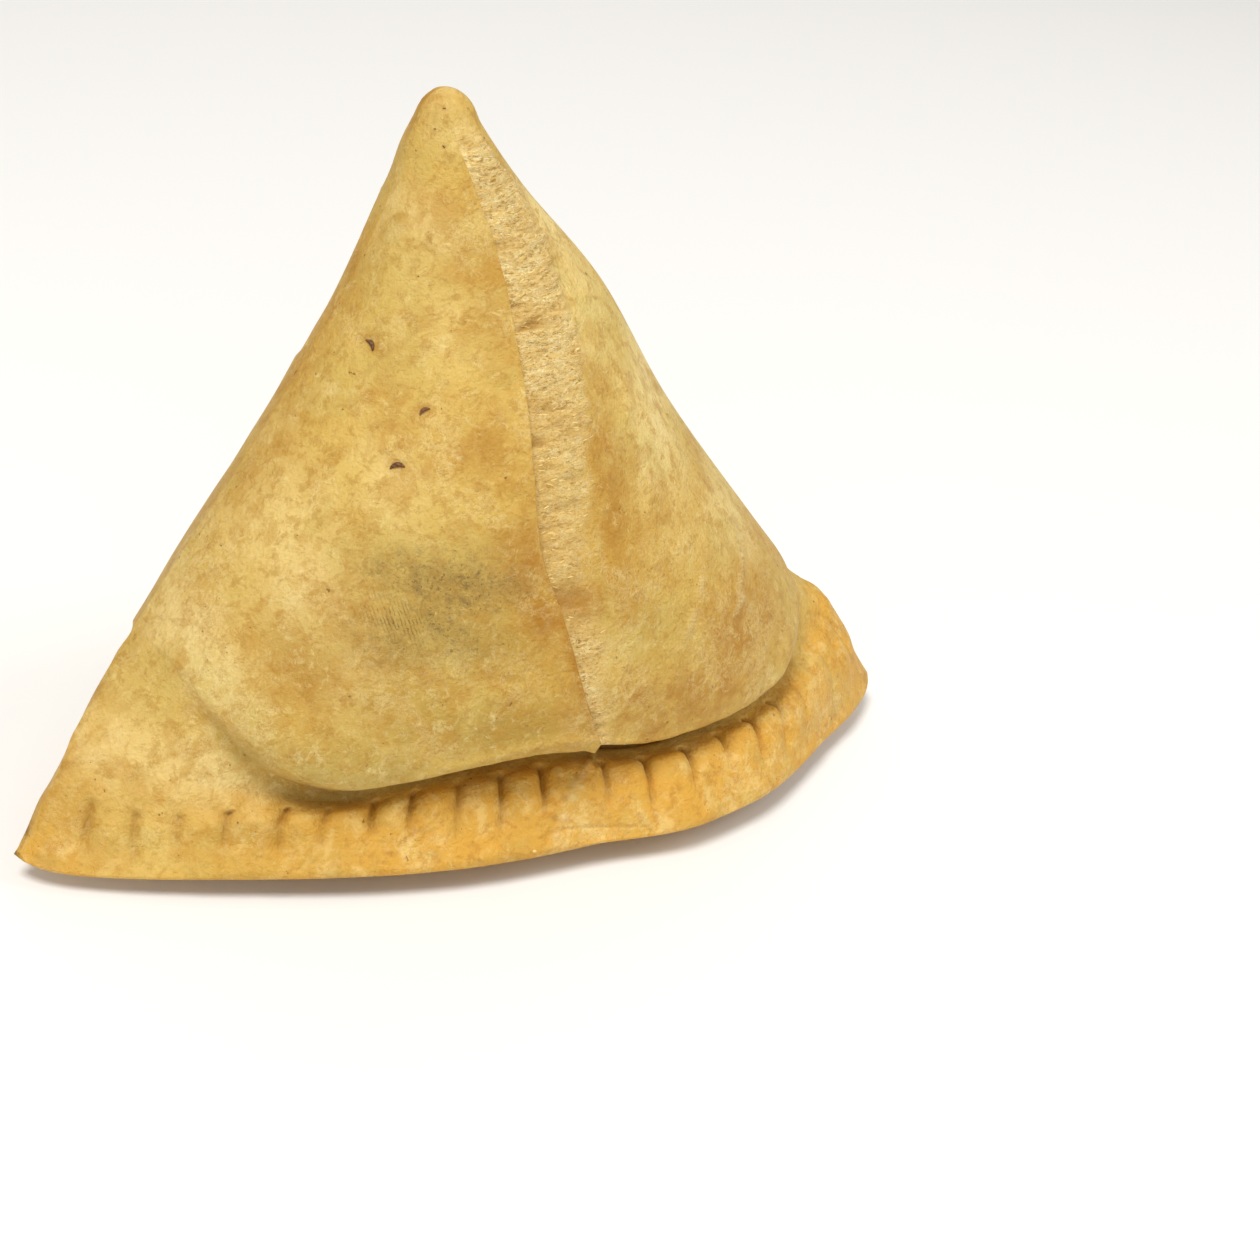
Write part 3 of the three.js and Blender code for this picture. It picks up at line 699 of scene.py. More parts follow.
def crust_mesh():
    rows = spread(0, 1, FRONT_ROWS, row_density)
    columns = spread(-1, 1, FRONT_COLUMNS, column_density)
    nearest = int(np.argmin(np.abs(columns)))
    columns[nearest] = 0.0
    columns[nearest - 1] = -LAP_EDGE_WIDTH
    front, masks, flat = laid_sheet(rows, columns, front_point, front_details, 1, CREASE_ROW)
    front[0] = left_fold(0)

    back_rows = np.interp(np.linspace(0, 1, BACK_ROWS + 2), np.linspace(0, 1, FRONT_ROWS), rows)
    back_rows = back_rows[1:-1]
    back_columns = -np.cos(np.linspace(0, math.pi, BACK_COLUMNS + 2))[1:-1]
    back, back_masks, back_flat = laid_sheet(
        back_rows, back_columns, back_point, back_details, -1, UNDERSIDE_ROW)
    back_flat[..., 2] = BACK_PATTERN_OFFSET

    tip = 0
    front_ids = 1 + np.arange(front[1:, :, 0].size).reshape(front[1:].shape[:2])
    back_ids = front_ids[-1, -1] + 1 + np.arange(back[..., 0].size).reshape(back.shape[:2])
    faces = fan(tip, front_ids[0]) + quads(front_ids)
    faces += [face[::-1] for face in fan(tip, back_ids[0]) + quads(back_ids)]
    left = np.concatenate([[tip], front_ids[:, 0]])
    right = np.concatenate([[tip], front_ids[:, -1]])
    faces += between(left, rows, back_ids[:, 0], back_rows)
    faces += [face[::-1] for face in between(right, rows, back_ids[:, -1], back_rows)]
    faces += between(front_ids[-1], columns, back_ids[-1], back_columns)

    points = per_point(front, back) - np.array(BASE_CENTRE)
    points[:, 2] = np.maximum(points[:, 2], 0)
    mesh = bpy.data.meshes.new("crust")
    mesh.from_pydata((points * MM).tolist(), [], faces)
    mesh.shade_smooth()
    for name in masks:
        store_values(mesh, name, "FLOAT", per_point(masks[name], back_masks[name]))
    store_values(mesh, "sheet_mm", "FLOAT_VECTOR", per_point(flat, back_flat))
    across = per_point(np.gradient(front, axis=1), np.gradient(back, axis=1))
    across /= np.maximum(np.linalg.norm(across, axis=-1, keepdims=True), 1e-9)
    store_values(mesh, "across_way", "FLOAT_VECTOR", across)
    return mesh


def back_details(row, column, point):
    """Relief of the back sheet and its underside, and the same masks as the front has."""
    down_mm, across_mm = sheet_place(row, column)
    inside = smooth(0, 0.12, 1 - np.abs(column)) * smooth(0, 0.05, row)
    above = 1 - smooth(0.78, 0.84, row)
    relief = tuck_relief(row, column)
    relief = relief + inside * above * (0.5 * lumps(point, 15, 31) + 0.2 * lumps(point, 6, 32))
    relief = relief + inside * above * 0.07 * lumps(point, 2.4, 33)
    relief = relief + inside * above * blisters(down_mm, across_mm, 60, 42)
    fold = 0.45 * smooth(0.86, 1, np.abs(column)) * smooth(0.1, 0.3, row)
    underside = 0.55 * smooth(0.8, 0.86, row)
    tip = 0.55 * (1 - smooth(0.02, 0.14, row))
    only_on_front = ("strip", "split", "groove_shade", "light_line", "herb", "comb", "crumb")
    masks = {name: np.zeros(row.shape) for name in only_on_front}
    masks["toasted_and_shade"] = np.maximum.reduce([fold, underside, tip, 0.3 * smooth(0.6, 0.75, row)])
    masks["pale"] = 0.4 * pulse(row, 0.35, 0.12) * (1 - smooth(0.3, 0.8, np.abs(column)))
    masks["olive_and_shade"] = 0.35 * pulse(row, 0.62, 0.06) * smooth(-0.2, 0.4, column)
    masks["rim"] = smooth(0.84, 0.9, row)
    return relief, masks


# Materials

def colour(hex_value):
    """sRGB hex colour as linear red, green and blue, and full alpha."""
    channels = [int(hex_value[i:i + 2], 16) / 255 for i in (1, 3, 5)]
    linear = [c / 12.92 if c <= 0.04045 else ((c + 0.055) / 1.055) ** 2.4 for c in channels]
    return (*linear, 1.0)


def add(tree, kind, settings=None, inputs=None):
    """A node with its settings, whose inputs are values or links from other nodes."""
    node = tree.nodes.new(kind)
    for name, value in (settings or {}).items():
        setattr(node, name, value)
    for key, value in (inputs or {}).items():
        if isinstance(value, bpy.types.NodeSocket):
            tree.links.new(value, node.inputs[key])
        else:
            node.inputs[key].default_value = value
    return node


# Typical of starch, husk and frying oil.
CRUST_IOR = 1.45

# Layers of tone in the skin of the dough, from the ground up. Each has its colour and strength,
# the mask of the mesh that bounds it, and the noise that breaks it up: its size in millimetres,
# detail, roughness and warp, and between which values of the noise the layer comes in.
SKIN_GROUND = "#cba247"
SKIN_TONES = (
    ("#d8b55c", 1.0, None, (26.0, 2, 0.5, 0.0), (0.38, 0.62)),
    ("#eed690", 0.9, "pale", (7.0, 5, 0.65, 0.2), (0.1, 0.5)),
    # Olive: partly the dough's own tone, partly painted shade low on the belly and in the valley by
    # the left ear.
    ("#a28331", 0.8, "olive_and_shade", (6.0, 5, 0.65, 0.2), (0.1, 0.55)),
    ("#bc8d36", 0.55, None, (5.0, 6, 0.66, 0.5), (0.46, 0.6)),
    ("#cdb461", 0.45, None, (11.0, 5, 0.66, 0.4), (0.46, 0.6)),
    ("#b0822c", 0.5, None, (1.8, 6, 0.72, 0.4), (0.5, 0.62)),
    # Toasted: browning from frying, and painted shade on a few patches low on the belly's right.
    ("#a97113", 1.0, "toasted_and_shade", (3.2, 5, 0.65, 0.3), (0.1, 0.62)),
    ("#ecd68f", 0.38, None, (2.0, 8, 0.8, 0.6), (0.53, 0.66)),
    ("#f0dda0", 0.5, "olive_and_shade", (1.6, 8, 0.8, 0.5), (0.52, 0.64)),
    ("#a97d2f", 0.4, None, (0.7, 5, 0.75, 0.2), (0.44, 0.3)),
    ("#d8a33e", 1.0, "rim", (4.0, 4, 0.6, 0.2), (0.2, 0.6)),
    ("#edcd7f", 0.5, "rim", (3.2, 6, 0.68, 0.4), (0.5, 0.64)),
    ("#b97f2c", 0.5, "rim", (1.7, 6, 0.72, 0.3), (0.5, 0.64)),
    ("#7c5520", 0.8, None, (0.9, 2, 0.5, 0.0), (0.735, 0.76)),
)
# Herbs of the filling show through the thin skin as an olive-brown stain with dark specks.
STAIN_TONES = (
    ("#8f7030", 0.85, "herb", (2.6, 6, 0.75, 0.5), (0.22, 0.6)),
    ("#79602a", 0.75, "herb", (1.0, 5, 0.75, 0.3), (0.5, 0.64)),
    ("#5e4519", 0.85, "herb", (0.4, 3, 0.65, 0.0), (0.58, 0.66)),
)
# Flour that dried on the skin, and the fine lines scored in it.
FLOUR = "#f2e0a6"
SCORED_LINE = "#6f5a2a"
# Flaky strip: pale curled fibres over a browner ground.
STRIP_GROUND = "#b58837"
STRIP_TONES = (
    ("#efcd80", 1.0, None, (0.6, 7, 0.8, 1.3), (0.41, 0.52)),
    ("#ffeeb4", 0.9, None, (0.45, 7, 0.8, 1.5), (0.5, 0.58)),
    ("#cd9c45", 0.45, None, (4.0, 4, 0.65, 0.4), (0.44, 0.62)),
)
# Splits and wrinkles, where the mesh says, and shade painted into the grooves: crimp slits and
# valleys, rim folds, cracks, the gap under the lip and beside the lapped edge.
LINE_TONES = (
    ("#ab7c30", 0.7, "split", None, None),
    ("#f2dca4", 0.75, "light_line", None, None),
    # Painted shade in the grooves and gaps that the mask marks.
    ("#9c6a22", 0.6, "groove_shade", None, None),
)
HUSK_GROUND = "#45290f"
HUSK_TONES = (("#7f5226", 1.0, None, (0.35, 3, 0.6, 0.0), (0.35, 0.65)),)
FLAKE_GROUND = "#d6ac5c"
FLAKE_TONES = (("#f0d389", 1.0, None, (1.5, 4, 0.6, 0.0), (0.35, 0.65)),)


def layered(tree, place, unit, ground, layers):
    """Colour of a surface: layers of tone, one over the other, on a ground."""
    tone = ground
    for over, strength, mask_name, grain, reach in layers:
        share = strength
        if grain:
            size, detail, rough, warp = grain
            cloud = add(tree, "ShaderNodeTexNoise", None,
                        {"Vector": place, "Scale": 1 / (size * unit), "Detail": detail,
                         "Roughness": rough, "Distortion": warp})
            share = add(tree, "ShaderNodeMapRange", {"interpolation_type": "SMOOTHSTEP"},
                        {"Value": cloud.outputs["Fac"], "From Min": reach[0],
                         "From Max": reach[1], "To Max": strength}).outputs[0]
        if mask_name:
            mask = add(tree, "ShaderNodeAttribute", {"attribute_name": mask_name})
            share = add(tree, "ShaderNodeMath", {"operation": "MULTIPLY", "use_clamp": True},
                        {0: mask.outputs["Fac"], 1: share}).outputs[0]
        tone = add(tree, "ShaderNodeMix", {"data_type": "RGBA"},
                   {0: share, 6: tone, 7: colour(over)}).outputs[2]
    return tone


def uneven(tree, place, unit, grains):
    """Sum of noises of several sizes, as the height of a bump."""
    height = 0.0
    for size, detail, rough, warp, weight in grains:
        cloud = add(tree, "ShaderNodeTexNoise", None,
                    {"Vector": place, "Scale": 1 / (size * unit), "Detail": detail,
                     "Roughness": rough, "Distortion": warp})
        height = add(tree, "ShaderNodeMath", {"operation": "MULTIPLY_ADD"},
                     {0: cloud.outputs["Fac"], 1: weight, 2: height}).outputs[0]
    return height


def new_material(name):
    """An empty material, and its node tree."""
    material = bpy.data.materials.new(name)
    material.use_nodes = True
    material.node_tree.nodes.clear()
    return material, material.node_tree


def bloom(tree, place):
    """Share of the whitish veins of dried flour, under a millimetre wide, in clusters."""
    branching = add(tree, "ShaderNodeTexNoise", None,
                    {"Vector": place, "Scale": 1 / (1.6 * MM), "Detail": 7,
                     "Roughness": 0.76, "Distortion": 0.6})
    from_middle = add(tree, "ShaderNodeMath", {"operation": "SUBTRACT"},
                      {0: branching.outputs["Fac"], 1: 0.5})
    near_middle = add(tree, "ShaderNodeMath", {"operation": "ABSOLUTE"},
                      {0: from_middle.outputs[0]})
    veins = add(tree, "ShaderNodeMapRange", {"interpolation_type": "SMOOTHSTEP"},
                {"Value": near_middle.outputs[0], "From Min": 0.05, "From Max": 0.005})
    patches = add(tree, "ShaderNodeTexNoise", None,
                  {"Vector": place, "Scale": 1 / (9 * MM), "Detail": 4, "Roughness": 0.65})
    cluster = add(tree, "ShaderNodeMapRange", {"interpolation_type": "SMOOTHSTEP"},
                  {"Value": patches.outputs["Fac"], "From Min": 0.48, "From Max": 0.62,
                   "To Max": 0.26})
    return add(tree, "ShaderNodeMath", {"operation": "MULTIPLY"},
               {0: veins.outputs[0], 1: cluster.outputs[0]}).outputs[0]


def comb_lines(tree, sheet):
    """Share of the fine lines scored in the skin, down the sheet, where its mask says."""
    mask = add(tree, "ShaderNodeAttribute", {"attribute_name": "comb"})
    waves = add(tree, "ShaderNodeTexWave", {"bands_direction": "Y"},
                {"Vector": sheet, "Scale": math.pi / 10 / COMB_PITCH, "Distortion": 5,
                 "Detail": 3, "Detail Scale": 0.9, "Detail Roughness": 0.6})
    dark = add(tree, "ShaderNodeMapRange", {"interpolation_type": "SMOOTHSTEP"},
               {"Value": waves.outputs["Fac"], "From Min": 0.55, "From Max": 0.9, "To Max": 0.8})
    broken = add(tree, "ShaderNodeTexNoise", None,
                 {"Vector": sheet, "Scale": 1 / 1.2, "Detail": 4, "Roughness": 0.7})
    share = add(tree, "ShaderNodeMapRange", {"interpolation_type": "SMOOTHSTEP"},
                {"Value": broken.outputs["Fac"], "From Min": 0.42, "From Max": 0.56})
    lines = add(tree, "ShaderNodeMath", {"operation": "MULTIPLY"},
                {0: dark.outputs[0], 1: share.outputs[0]})
    return add(tree, "ShaderNodeMath", {"operation": "MULTIPLY", "use_clamp": True},
               {0: mask.outputs["Fac"], 1: lines.outputs[0]}).outputs[0]


def fried_dough():
    """Wheat dough, rolled thin and deep-fried: matt golden skin with a faint film of oil,
    browned where it is thin, whitish where flour dried on it, flaky beside the seam, with shade
    painted into its grooves and low on the belly."""
    material, tree = new_material("deep-fried wheat dough")
    place = add(tree, "ShaderNodeTexCoord").outputs["Object"]
    sheet = add(tree, "ShaderNodeAttribute", {"attribute_name": "sheet_mm"})
    drawn_out = add(tree, "ShaderNodeMapping", None,
                    {"Vector": sheet.outputs["Vector"], "Scale": (1.0, 0.4, 1.0)}).outputs[0]
    strip = add(tree, "ShaderNodeAttribute", {"attribute_name": "strip"}).outputs["Fac"]

    skin = layered(tree, place, MM, colour(SKIN_GROUND), SKIN_TONES)
    floured = add(tree, "ShaderNodeMix", {"data_type": "RGBA"},
                  {0: bloom(tree, place), 6: skin, 7: colour(FLOUR)}).outputs[2]
    stained = layered(tree, place, MM, floured, STAIN_TONES)
    scored = add(tree, "ShaderNodeMix", {"data_type": "RGBA"},
                 {0: comb_lines(tree, sheet.outputs["Vector"]), 6: stained,
                  7: colour(SCORED_LINE)}).outputs[2]
    flaky = layered(tree, drawn_out, 1.0, colour(STRIP_GROUND), STRIP_TONES)
    striped = add(tree, "ShaderNodeMix", {"data_type": "RGBA"},
                  {0: strip, 6: scored, 7: flaky}).outputs[2]
    tone = layered(tree, place, MM, striped, LINE_TONES)

    # Fine skin of the dough, 0.4 to 2 mm, and the rough fibres of the strip.
    skin_height = uneven(tree, place, MM, ((1.8, 5, 0.68, 0.2, 0.8), (0.5, 3, 0.6, 0.0, 1.0)))
    skin_bump = add(tree, "ShaderNodeBump", None,
                    {"Strength": 0.9, "Distance": 0.35 * MM, "Height": skin_height})
    fibres = uneven(tree, drawn_out, 1.0, ((0.7, 6, 0.76, 1.0, 1.0),))
    on_strip = add(tree, "ShaderNodeMath", {"operation": "MULTIPLY"}, {0: fibres, 1: strip})
    strip_bump = add(tree, "ShaderNodeBump", None,
                     {"Strength": 0.9, "Distance": 0.38 * MM, "Height": on_strip.outputs[0],
                      "Normal": skin_bump.outputs[0]})
    oily = add(tree, "ShaderNodeTexNoise", None,
               {"Vector": place, "Scale": 1 / (6 * MM), "Detail": 3})
    sheen = add(tree, "ShaderNodeMapRange", None,
                {"Value": oily.outputs["Fac"], "To Min": 0.38, "To Max": 0.66})
    shader = add(tree, "ShaderNodeBsdfPrincipled", None,
                 {"Base Color": tone, "Roughness": sheen.outputs[0], "IOR": CRUST_IOR,
                  "Specular IOR Level": 0.35, "Subsurface Weight": 0.12,
                  "Subsurface Radius": (1.0, 0.55, 0.2), "Subsurface Scale": 0.8 * MM,
                  "Normal": strip_bump.outputs[0]})
    add(tree, "ShaderNodeOutputMaterial", None, {"Surface": shader.outputs["BSDF"]})
    return material


def dry_finish(name, ground, tones, bump_strength, grain_mm, roughness):
    """A dry finish almost without gloss: tones on a ground, with grain 0.1 mm high."""
    material, tree = new_material(name)
    place = add(tree, "ShaderNodeTexCoord").outputs["Object"]
    tone = layered(tree, place, MM, colour(ground), tones)
    bump = add(tree, "ShaderNodeBump", None,
               {"Strength": bump_strength, "Distance": 0.1 * MM,
                "Height": uneven(tree, place, MM, ((grain_mm, 3, 0.5, 0.0, 1.0),))})
    shader = add(tree, "ShaderNodeBsdfPrincipled", None,
                 {"Base Color": tone, "Roughness": roughness, "IOR": CRUST_IOR,
                  "Normal": bump.outputs[0]})
    add(tree, "ShaderNodeOutputMaterial", None, {"Surface": shader.outputs["BSDF"]})
    return material


def carom_seed():
    """Carom seed, fried dark: dry ridged husk, almost without gloss."""
    return dry_finish("fried carom seed husk", HUSK_GROUND, HUSK_TONES, 0.5, 0.3, 0.6)


def dry_flake():
    """Thin flakes of dough that dried and fried crisp: paler and rougher than the skin."""
    return dry_finish("crisp wheat dough flakes", FLAKE_GROUND, FLAKE_TONES, 0.4, 0.4, 0.7)


# What repeats: seeds, flakes and crumbs

def node_tree(name, sockets):
    """A Geometry Nodes tree with named inputs, and their identifiers by name."""
    tree = bpy.data.node_groups.new(name, "GeometryNodeTree")
    tree.interface.new_socket("Geometry", in_out="INPUT", socket_type="NodeSocketGeometry")
    for label, kind in sockets:
        tree.interface.new_socket(label, in_out="INPUT", socket_type=kind)
    tree.interface.new_socket("Geometry", in_out="OUTPUT", socket_type="NodeSocketGeometry")
    identifiers = {item.name: item.identifier for item in tree.interface.items_tree
                   if item.in_out == "INPUT"}
    return tree, identifiers


def grown(name, base_mesh, tree, identifiers, values):
    """The plain mesh that the tree makes on a mesh, as a piece of its own."""
    carrier = bpy.data.objects.new(name + "_carrier", base_mesh)
    bpy.context.scene.collection.objects.link(carrier)
    modifier = carrier.modifiers.new(name, "NODES")
    modifier.node_group = tree
    for label, value in values.items():
        modifier[identifiers[label]] = value
    bpy.context.view_layer.update()
    evaluated = carrier.evaluated_get(bpy.context.evaluated_depsgraph_get())
    mesh = bpy.data.meshes.new_from_object(evaluated)
    carrier.modifiers.remove(modifier)
    bpy.data.objects.remove(carrier)
    for layer_name in [layer.name for layer in mesh.attributes
                       if layer.name not in ("position", "material_index", "sharp_face")
                       and not layer.name.startswith(".")]:
        mesh.attributes.remove(mesh.attributes[layer_name])
    return piece(name, mesh, None)


def finish_tree(tree, geometry, material):
    realized = add(tree, "GeometryNodeRealizeInstances", None, {"Geometry": geometry})
    smooth_faces = add(tree, "GeometryNodeSetShadeSmooth", None,
                       {"Geometry": realized.outputs[0]})
    finished = add(tree, "GeometryNodeSetMaterial", None,
                   {"Geometry": smooth_faces.outputs[0], "Material": material})
    add(tree, "NodeGroupOutput", None, {"Geometry": finished.outputs[0]})


def seed_tree(material):
    """Ridged, slightly bent seeds, one on each point, turned as its attribute says."""
    tree, identifiers = node_tree("carom seeds", (
        ("Seed length", "NodeSocketFloat"), ("Seed width", "NodeSocketFloat"),
        ("Bend per metre", "NodeSocketFloat"), ("Rib height", "NodeSocketFloat")))
    given = add(tree, "NodeGroupInput").outputs
    ball = add(tree, "GeometryNodeMeshUVSphere", None,
               {"Segments": 20, "Rings": 12, "Radius": 0.5}).outputs["Mesh"]
    place = add(tree, "GeometryNodeInputPosition").outputs[0]
    split = add(tree, "ShaderNodeSeparateXYZ", None, {0: place}).outputs
    angle = add(tree, "ShaderNodeMath", {"operation": "ARCTAN2"},
                {0: split[2], 1: split[1]}).outputs[0]
    turns = add(tree, "ShaderNodeMath", {"operation": "MULTIPLY"},
                {0: angle, 1: SEED_RIBS}).outputs[0]
    ribs = add(tree, "ShaderNodeMath", {"operation": "COSINE"}, {0: turns}).outputs[0]
    swell = add(tree, "ShaderNodeMath", {"operation": "MULTIPLY_ADD"},
                {0: ribs, 1: given["Rib height"], 2: 1.0}).outputs[0]
    stretch = add(tree, "ShaderNodeCombineXYZ", None, {0: 1.0, 1: swell, 2: swell}).outputs[0]
    ribbed = add(tree, "ShaderNodeVectorMath", {"operation": "MULTIPLY"},
                 {0: place, 1: stretch}).outputs[0]
    ball = add(tree, "GeometryNodeSetPosition", None,
               {"Geometry": ball, "Position": ribbed}).outputs[0]
    size = add(tree, "ShaderNodeCombineXYZ", None, {
        0: given["Seed length"], 1: given["Seed width"], 2: given["Seed width"]}).outputs[0]
    seed = add(tree, "GeometryNodeTransform", None, {"Geometry": ball, "Scale": size}).outputs[0]
    square = add(tree, "ShaderNodeMath", {"operation": "MULTIPLY"},
                 {0: split[0], 1: split[0]}).outputs[0]
    drop = add(tree, "ShaderNodeMath", {"operation": "MULTIPLY"},
               {0: square, 1: given["Bend per metre"]}).outputs[0]
    offset = add(tree, "ShaderNodeCombineXYZ", None, {1: drop}).outputs[0]
    bent = add(tree, "GeometryNodeSetPosition", None,
               {"Geometry": seed, "Offset": offset}).outputs[0]
    turn = add(tree, "GeometryNodeInputNamedAttribute", {"data_type": "FLOAT_VECTOR"},
               {"Name": "seed_turn"}).outputs[0]
    scale = add(tree, "GeometryNodeInputNamedAttribute", {"data_type": "FLOAT"},
                {"Name": "seed_size"}).outputs[0]
    placed = add(tree, "GeometryNodeInstanceOnPoints", None,
                 {"Points": given["Geometry"], "Instance": bent, "Rotation": turn, "Scale": scale})
    finish_tree(tree, placed.outputs[0], material)
    return tree, identifiers


def flake_tree(name, mask_name, material):
    """Flat flakes strewn where a mask of the crust says, lying across the strip."""
    tree, identifiers = node_tree(name, (
        ("Per square metre", "NodeSocketFloat"), ("Flake length", "NodeSocketFloat"),
        ("Flake width", "NodeSocketFloat"), ("Flake height", "NodeSocketFloat"),
        ("Smallest", "NodeSocketFloat"), ("Scatter seed", "NodeSocketInt")))
    given = add(tree, "NodeGroupInput").outputs
    share = add(tree, "GeometryNodeInputNamedAttribute", {"data_type": "FLOAT"},
                {"Name": mask_name}).outputs[0]
    density = add(tree, "ShaderNodeMath", {"operation": "MULTIPLY"},
                  {0: share, 1: given["Per square metre"]}).outputs[0]
    strewn = add(tree, "GeometryNodeDistributePointsOnFaces", {"distribute_method": "RANDOM"},
                 {"Mesh": given["Geometry"], "Density": density, "Seed": given["Scatter seed"]})
    ball = add(tree, "GeometryNodeMeshUVSphere", None,
               {"Segments": 6, "Rings": 4, "Radius": 0.5}).outputs["Mesh"]
    size = add(tree, "ShaderNodeCombineXYZ", None, {
        0: given["Flake length"], 1: given["Flake width"], 2: given["Flake height"]}).outputs[0]
    flake = add(tree, "GeometryNodeTransform", None, {"Geometry": ball, "Scale": size}).outputs[0]
    upright = add(tree, "FunctionNodeAlignRotationToVector", {"axis": "Z"},
                  {"Vector": strewn.outputs["Normal"]}).outputs[0]
    across = add(tree, "GeometryNodeInputNamedAttribute", {"data_type": "FLOAT_VECTOR"},
                 {"Name": "across_way"}).outputs[0]
    along = add(tree, "FunctionNodeAlignRotationToVector", {"axis": "X", "pivot_axis": "Z"},
                {"Rotation": upright, "Vector": across}).outputs[0]
    twist = add(tree, "FunctionNodeRandomValue", {"data_type": "FLOAT_VECTOR"},
                {0: (-0.2, -0.2, -0.45), 1: (0.2, 0.2, 0.45), "Seed": 3}).outputs[0]
    turned = add(tree, "FunctionNodeRotateRotation", {"rotation_space": "LOCAL"},
                 {"Rotation": along, "Rotate By": twist}).outputs[0]
    scale = add(tree, "FunctionNodeRandomValue", {"data_type": "FLOAT"},
                {2: given["Smallest"], 3: 1.0, "Seed": 5}).outputs[1]
    placed = add(tree, "GeometryNodeInstanceOnPoints", None,
                 {"Points": strewn.outputs["Points"], "Instance": flake,
                  "Rotation": turned, "Scale": scale})
    finish_tree(tree, placed.outputs[0], material)
    return tree, identifiers


def seed_points():
    """Points for the seeds, half sunk in the dough, each with its turn and size."""
    places, turns, sizes = [], [], []
    sheets = ((front_point, front_details, SEED_PLACES, 1),
              (back_point, back_details, BACK_SEED_PLACES, -1))
    for sheet, details, listed, facing in sheets:
        for down, across, turn, size in listed:
            row, column = np.array([[down]]), np.array([[across]])
            point = sheet(row, column)
            relief, masks = details(row, column, point)
            up = Vector(outward(sheet, row, column, facing)[0, 0])
            along = Vector((math.cos(turn), 0, -math.sin(turn)))
            along = (along - up * along.dot(up)).normalized()
            turned = Matrix((along, up.cross(along), up)).transposed()
            place = Vector(point[0, 0]) + up * (float(relief[0, 0]) + SEED_LIFT)
            places.append((place - Vector(BASE_CENTRE)) * MM)
            turns.append(tuple(turned.to_euler()))
            sizes.append(size)
    mesh = bpy.data.meshes.new("seed_points")
    mesh.from_pydata(places, [], [])
    store_values(mesh, "seed_turn", "FLOAT_VECTOR", turns)
    store_values(mesh, "seed_size", "FLOAT", sizes)
    return mesh


# Pieces

def piece(name, mesh, material):
    thing = bpy.data.objects.new(name, mesh)
    bpy.context.scene.collection.objects.link(thing)
    if material is not None:
        mesh.materials.clear()
        mesh.materials.append(material)
    return thing


crust = piece("dough_crust", crust_mesh(), fried_dough())

tree, identifiers = seed_tree(carom_seed())
seeds = grown("carom_seeds", seed_points(), tree, identifiers, {
    "Seed length": 1.7 * MM, "Seed width": 0.52 * MM, "Bend per metre": -0.55 / MM,
    "Rib height": 0.12})

flake_finish = dry_flake()
tree, identifiers = flake_tree("strip flakes", "strip", flake_finish)
strip_flakes = grown("strip_flakes", crust.data.copy(), tree, identifiers, {
    "Per square metre": 9.0e5, "Flake length": 1.2 * MM, "Flake width": 0.2 * MM,
    "Flake height": 0.13 * MM, "Smallest": 0.3, "Scatter seed": 11})

tree, identifiers = flake_tree("rim crumbs", "crumb", flake_finish)
rim_crumbs = grown("rim_crumbs", crust.data.copy(), tree, identifiers, {
    "Per square metre": 2.5e4, "Flake length": 0.8 * MM, "Flake width": 0.5 * MM,
    "Flake height": 0.2 * MM, "Smallest": 0.3, "Scatter seed": 4})


# Camera, floor and light

# View of the photo: angles in degrees, distance in millimetres. The origin of the tables falls
# on ORIGIN_PIXEL.
CAMERA_AZIMUTH = -32.0
CAMERA_ELEVATION = 28.2
CAMERA_ROLL = 7.5
CAMERA_DISTANCE = 275.0
FOCAL_PIXELS = 2100.0
IMAGE_PIXELS = 1260.0
ORIGIN_PIXEL = (470.0, 770.0)
SENSOR = 36.0

# Soft round lamps: direction, distance and diameter in metres, and power in watts.
LAMPS = (
    ("overhead_softbox", (-0.35, -0.25, 1.0), 1.2, 0.55, 11.3),
    ("front_fill", (-0.5, -1.2, 0.55), 1.0, 0.7, 1.7),
    ("right_fill", (1.2, -0.5, 0.9), 1.1, 0.6, 3.0),
    ("back_fill", (0.6, 1.0, 0.9), 1.0, 0.7, 1.2),
)
# Middle of the samosa's height, where every lamp aims.
LAMP_AIM = Vector((0, 0, 0.04))
ROOM_COLOUR = "#f4f2ee"
ROOM_BRIGHTNESS = 0.38
FLOOR_COLOUR = "#f1efeb"
FLOOR_REACH = 1.5


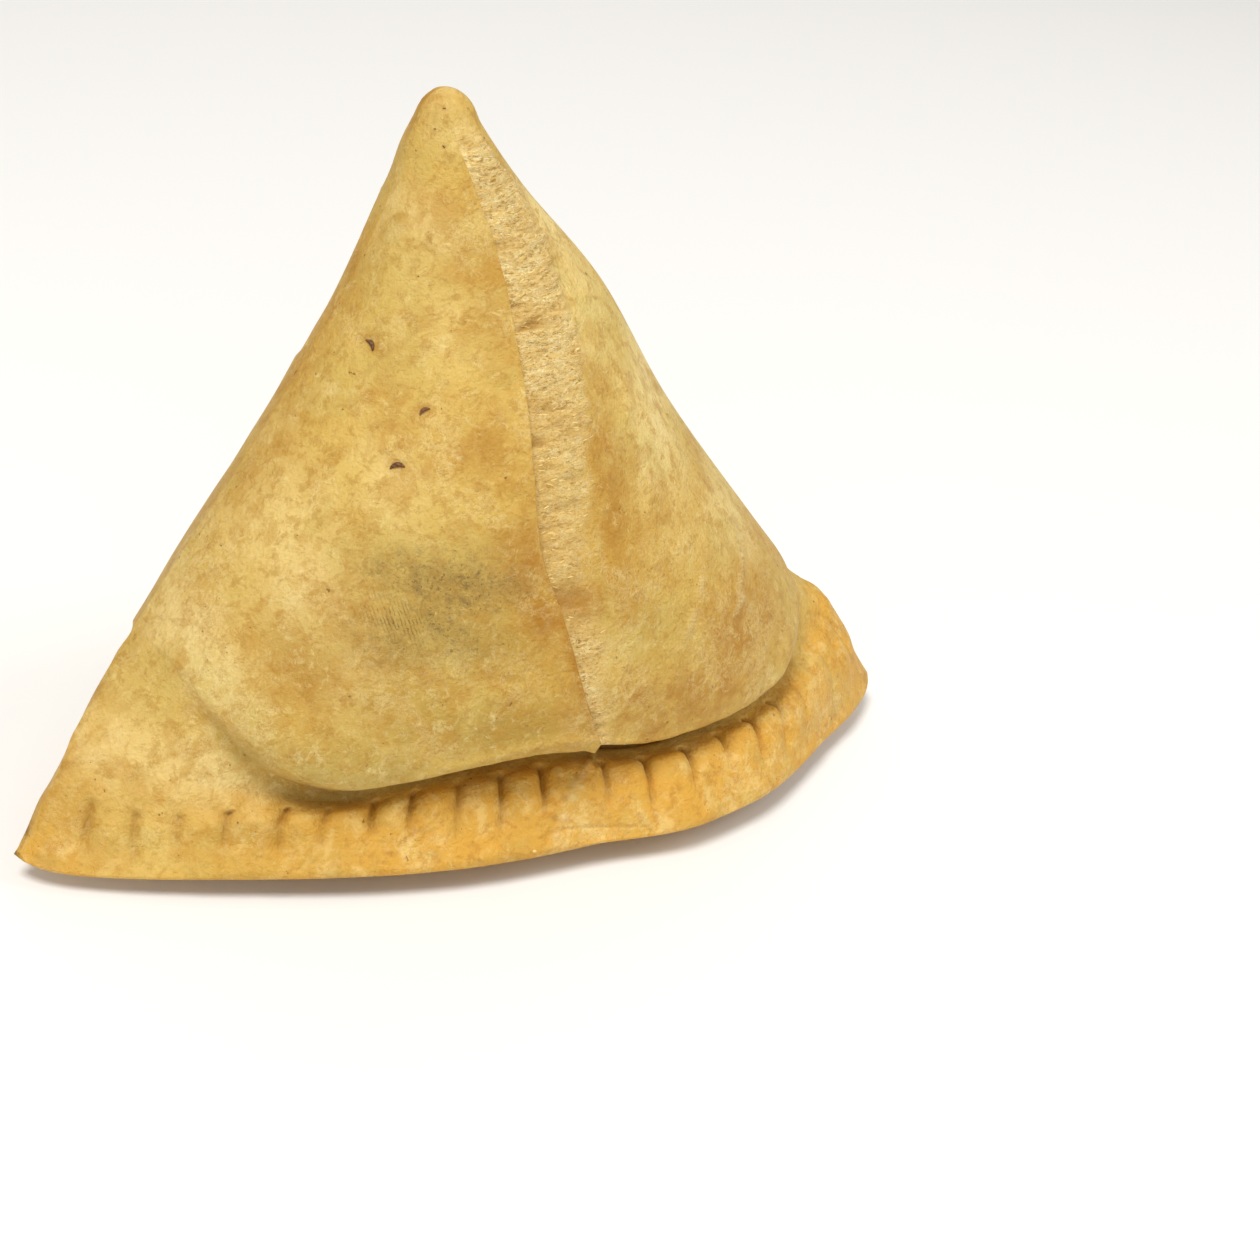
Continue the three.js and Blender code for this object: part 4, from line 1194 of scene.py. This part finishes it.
def place_camera():
    azimuth, elevation, roll = np.radians([CAMERA_AZIMUTH, CAMERA_ELEVATION, CAMERA_ROLL])
    back = np.array([math.sin(azimuth) * math.cos(elevation),
                     -math.cos(azimuth) * math.cos(elevation), math.sin(elevation)])
    level = np.array([math.cos(azimuth), math.sin(azimuth), 0])
    upright = np.cross(back, level)
    right = level * math.cos(roll) + upright * math.sin(roll)
    up = -level * math.sin(roll) + upright * math.cos(roll)
    middle = IMAGE_PIXELS / 2
    ray = (-back + right * (ORIGIN_PIXEL[0] - middle) / FOCAL_PIXELS
           + up * (middle - ORIGIN_PIXEL[1]) / FOCAL_PIXELS)
    place = -ray * CAMERA_DISTANCE / np.linalg.norm(ray) - np.array(BASE_CENTRE)
    data = bpy.data.cameras.new("camera")
    data.sensor_width = SENSOR
    data.lens = FOCAL_PIXELS / IMAGE_PIXELS * SENSOR
    data.clip_start = 0.01
    camera = bpy.data.objects.new("camera", data)
    bpy.context.scene.collection.objects.link(camera)
    turned = Matrix((right, up, back)).transposed().to_4x4()
    camera.matrix_world = Matrix.Translation(Vector(place * MM)) @ turned
    bpy.context.scene.camera = camera


def soft_light(name, direction, distance, size, power):
    data = bpy.data.lights.new(name, "AREA")
    data.shape = "DISK"
    data.size = size
    data.energy = power
    lamp = bpy.data.objects.new(name, data)
    bpy.context.scene.collection.objects.link(lamp)
    lamp.location = Vector(direction).normalized() * distance + LAMP_AIM
    lamp.rotation_euler = (LAMP_AIM - lamp.location).to_track_quat("-Z", "Y").to_euler()


place_camera()
for lamp_values in LAMPS:
    soft_light(*lamp_values)

world = bpy.data.worlds.new("pale_room")
bpy.context.scene.world = world
world.use_nodes = True
room_light = world.node_tree.nodes["Background"].inputs
room_light["Color"].default_value = colour(ROOM_COLOUR)
room_light["Strength"].default_value = ROOM_BRIGHTNESS

bpy.context.scene.view_settings.view_transform = "Standard"

floor_mesh = bpy.data.meshes.new("pale_floor")
corners = [(x * FLOOR_REACH, y * FLOOR_REACH, 0) for x, y in ((-1, -1), (1, -1), (1, 1), (-1, 1))]
floor_mesh.from_pydata(corners, [], [(0, 1, 2, 3)])
floor_material = bpy.data.materials.new("matte pale board")
floor_material.use_nodes = True
floor_shader = floor_material.node_tree.nodes["Principled BSDF"]
floor_shader.inputs["Base Color"].default_value = colour(FLOOR_COLOUR)
floor_shader.inputs["Roughness"].default_value = 0.8
floor = piece("pale_floor", floor_mesh, floor_material)

for part in (crust, seeds, strip_flakes, rim_crumbs):
    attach(part, "root")
    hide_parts("samosa")
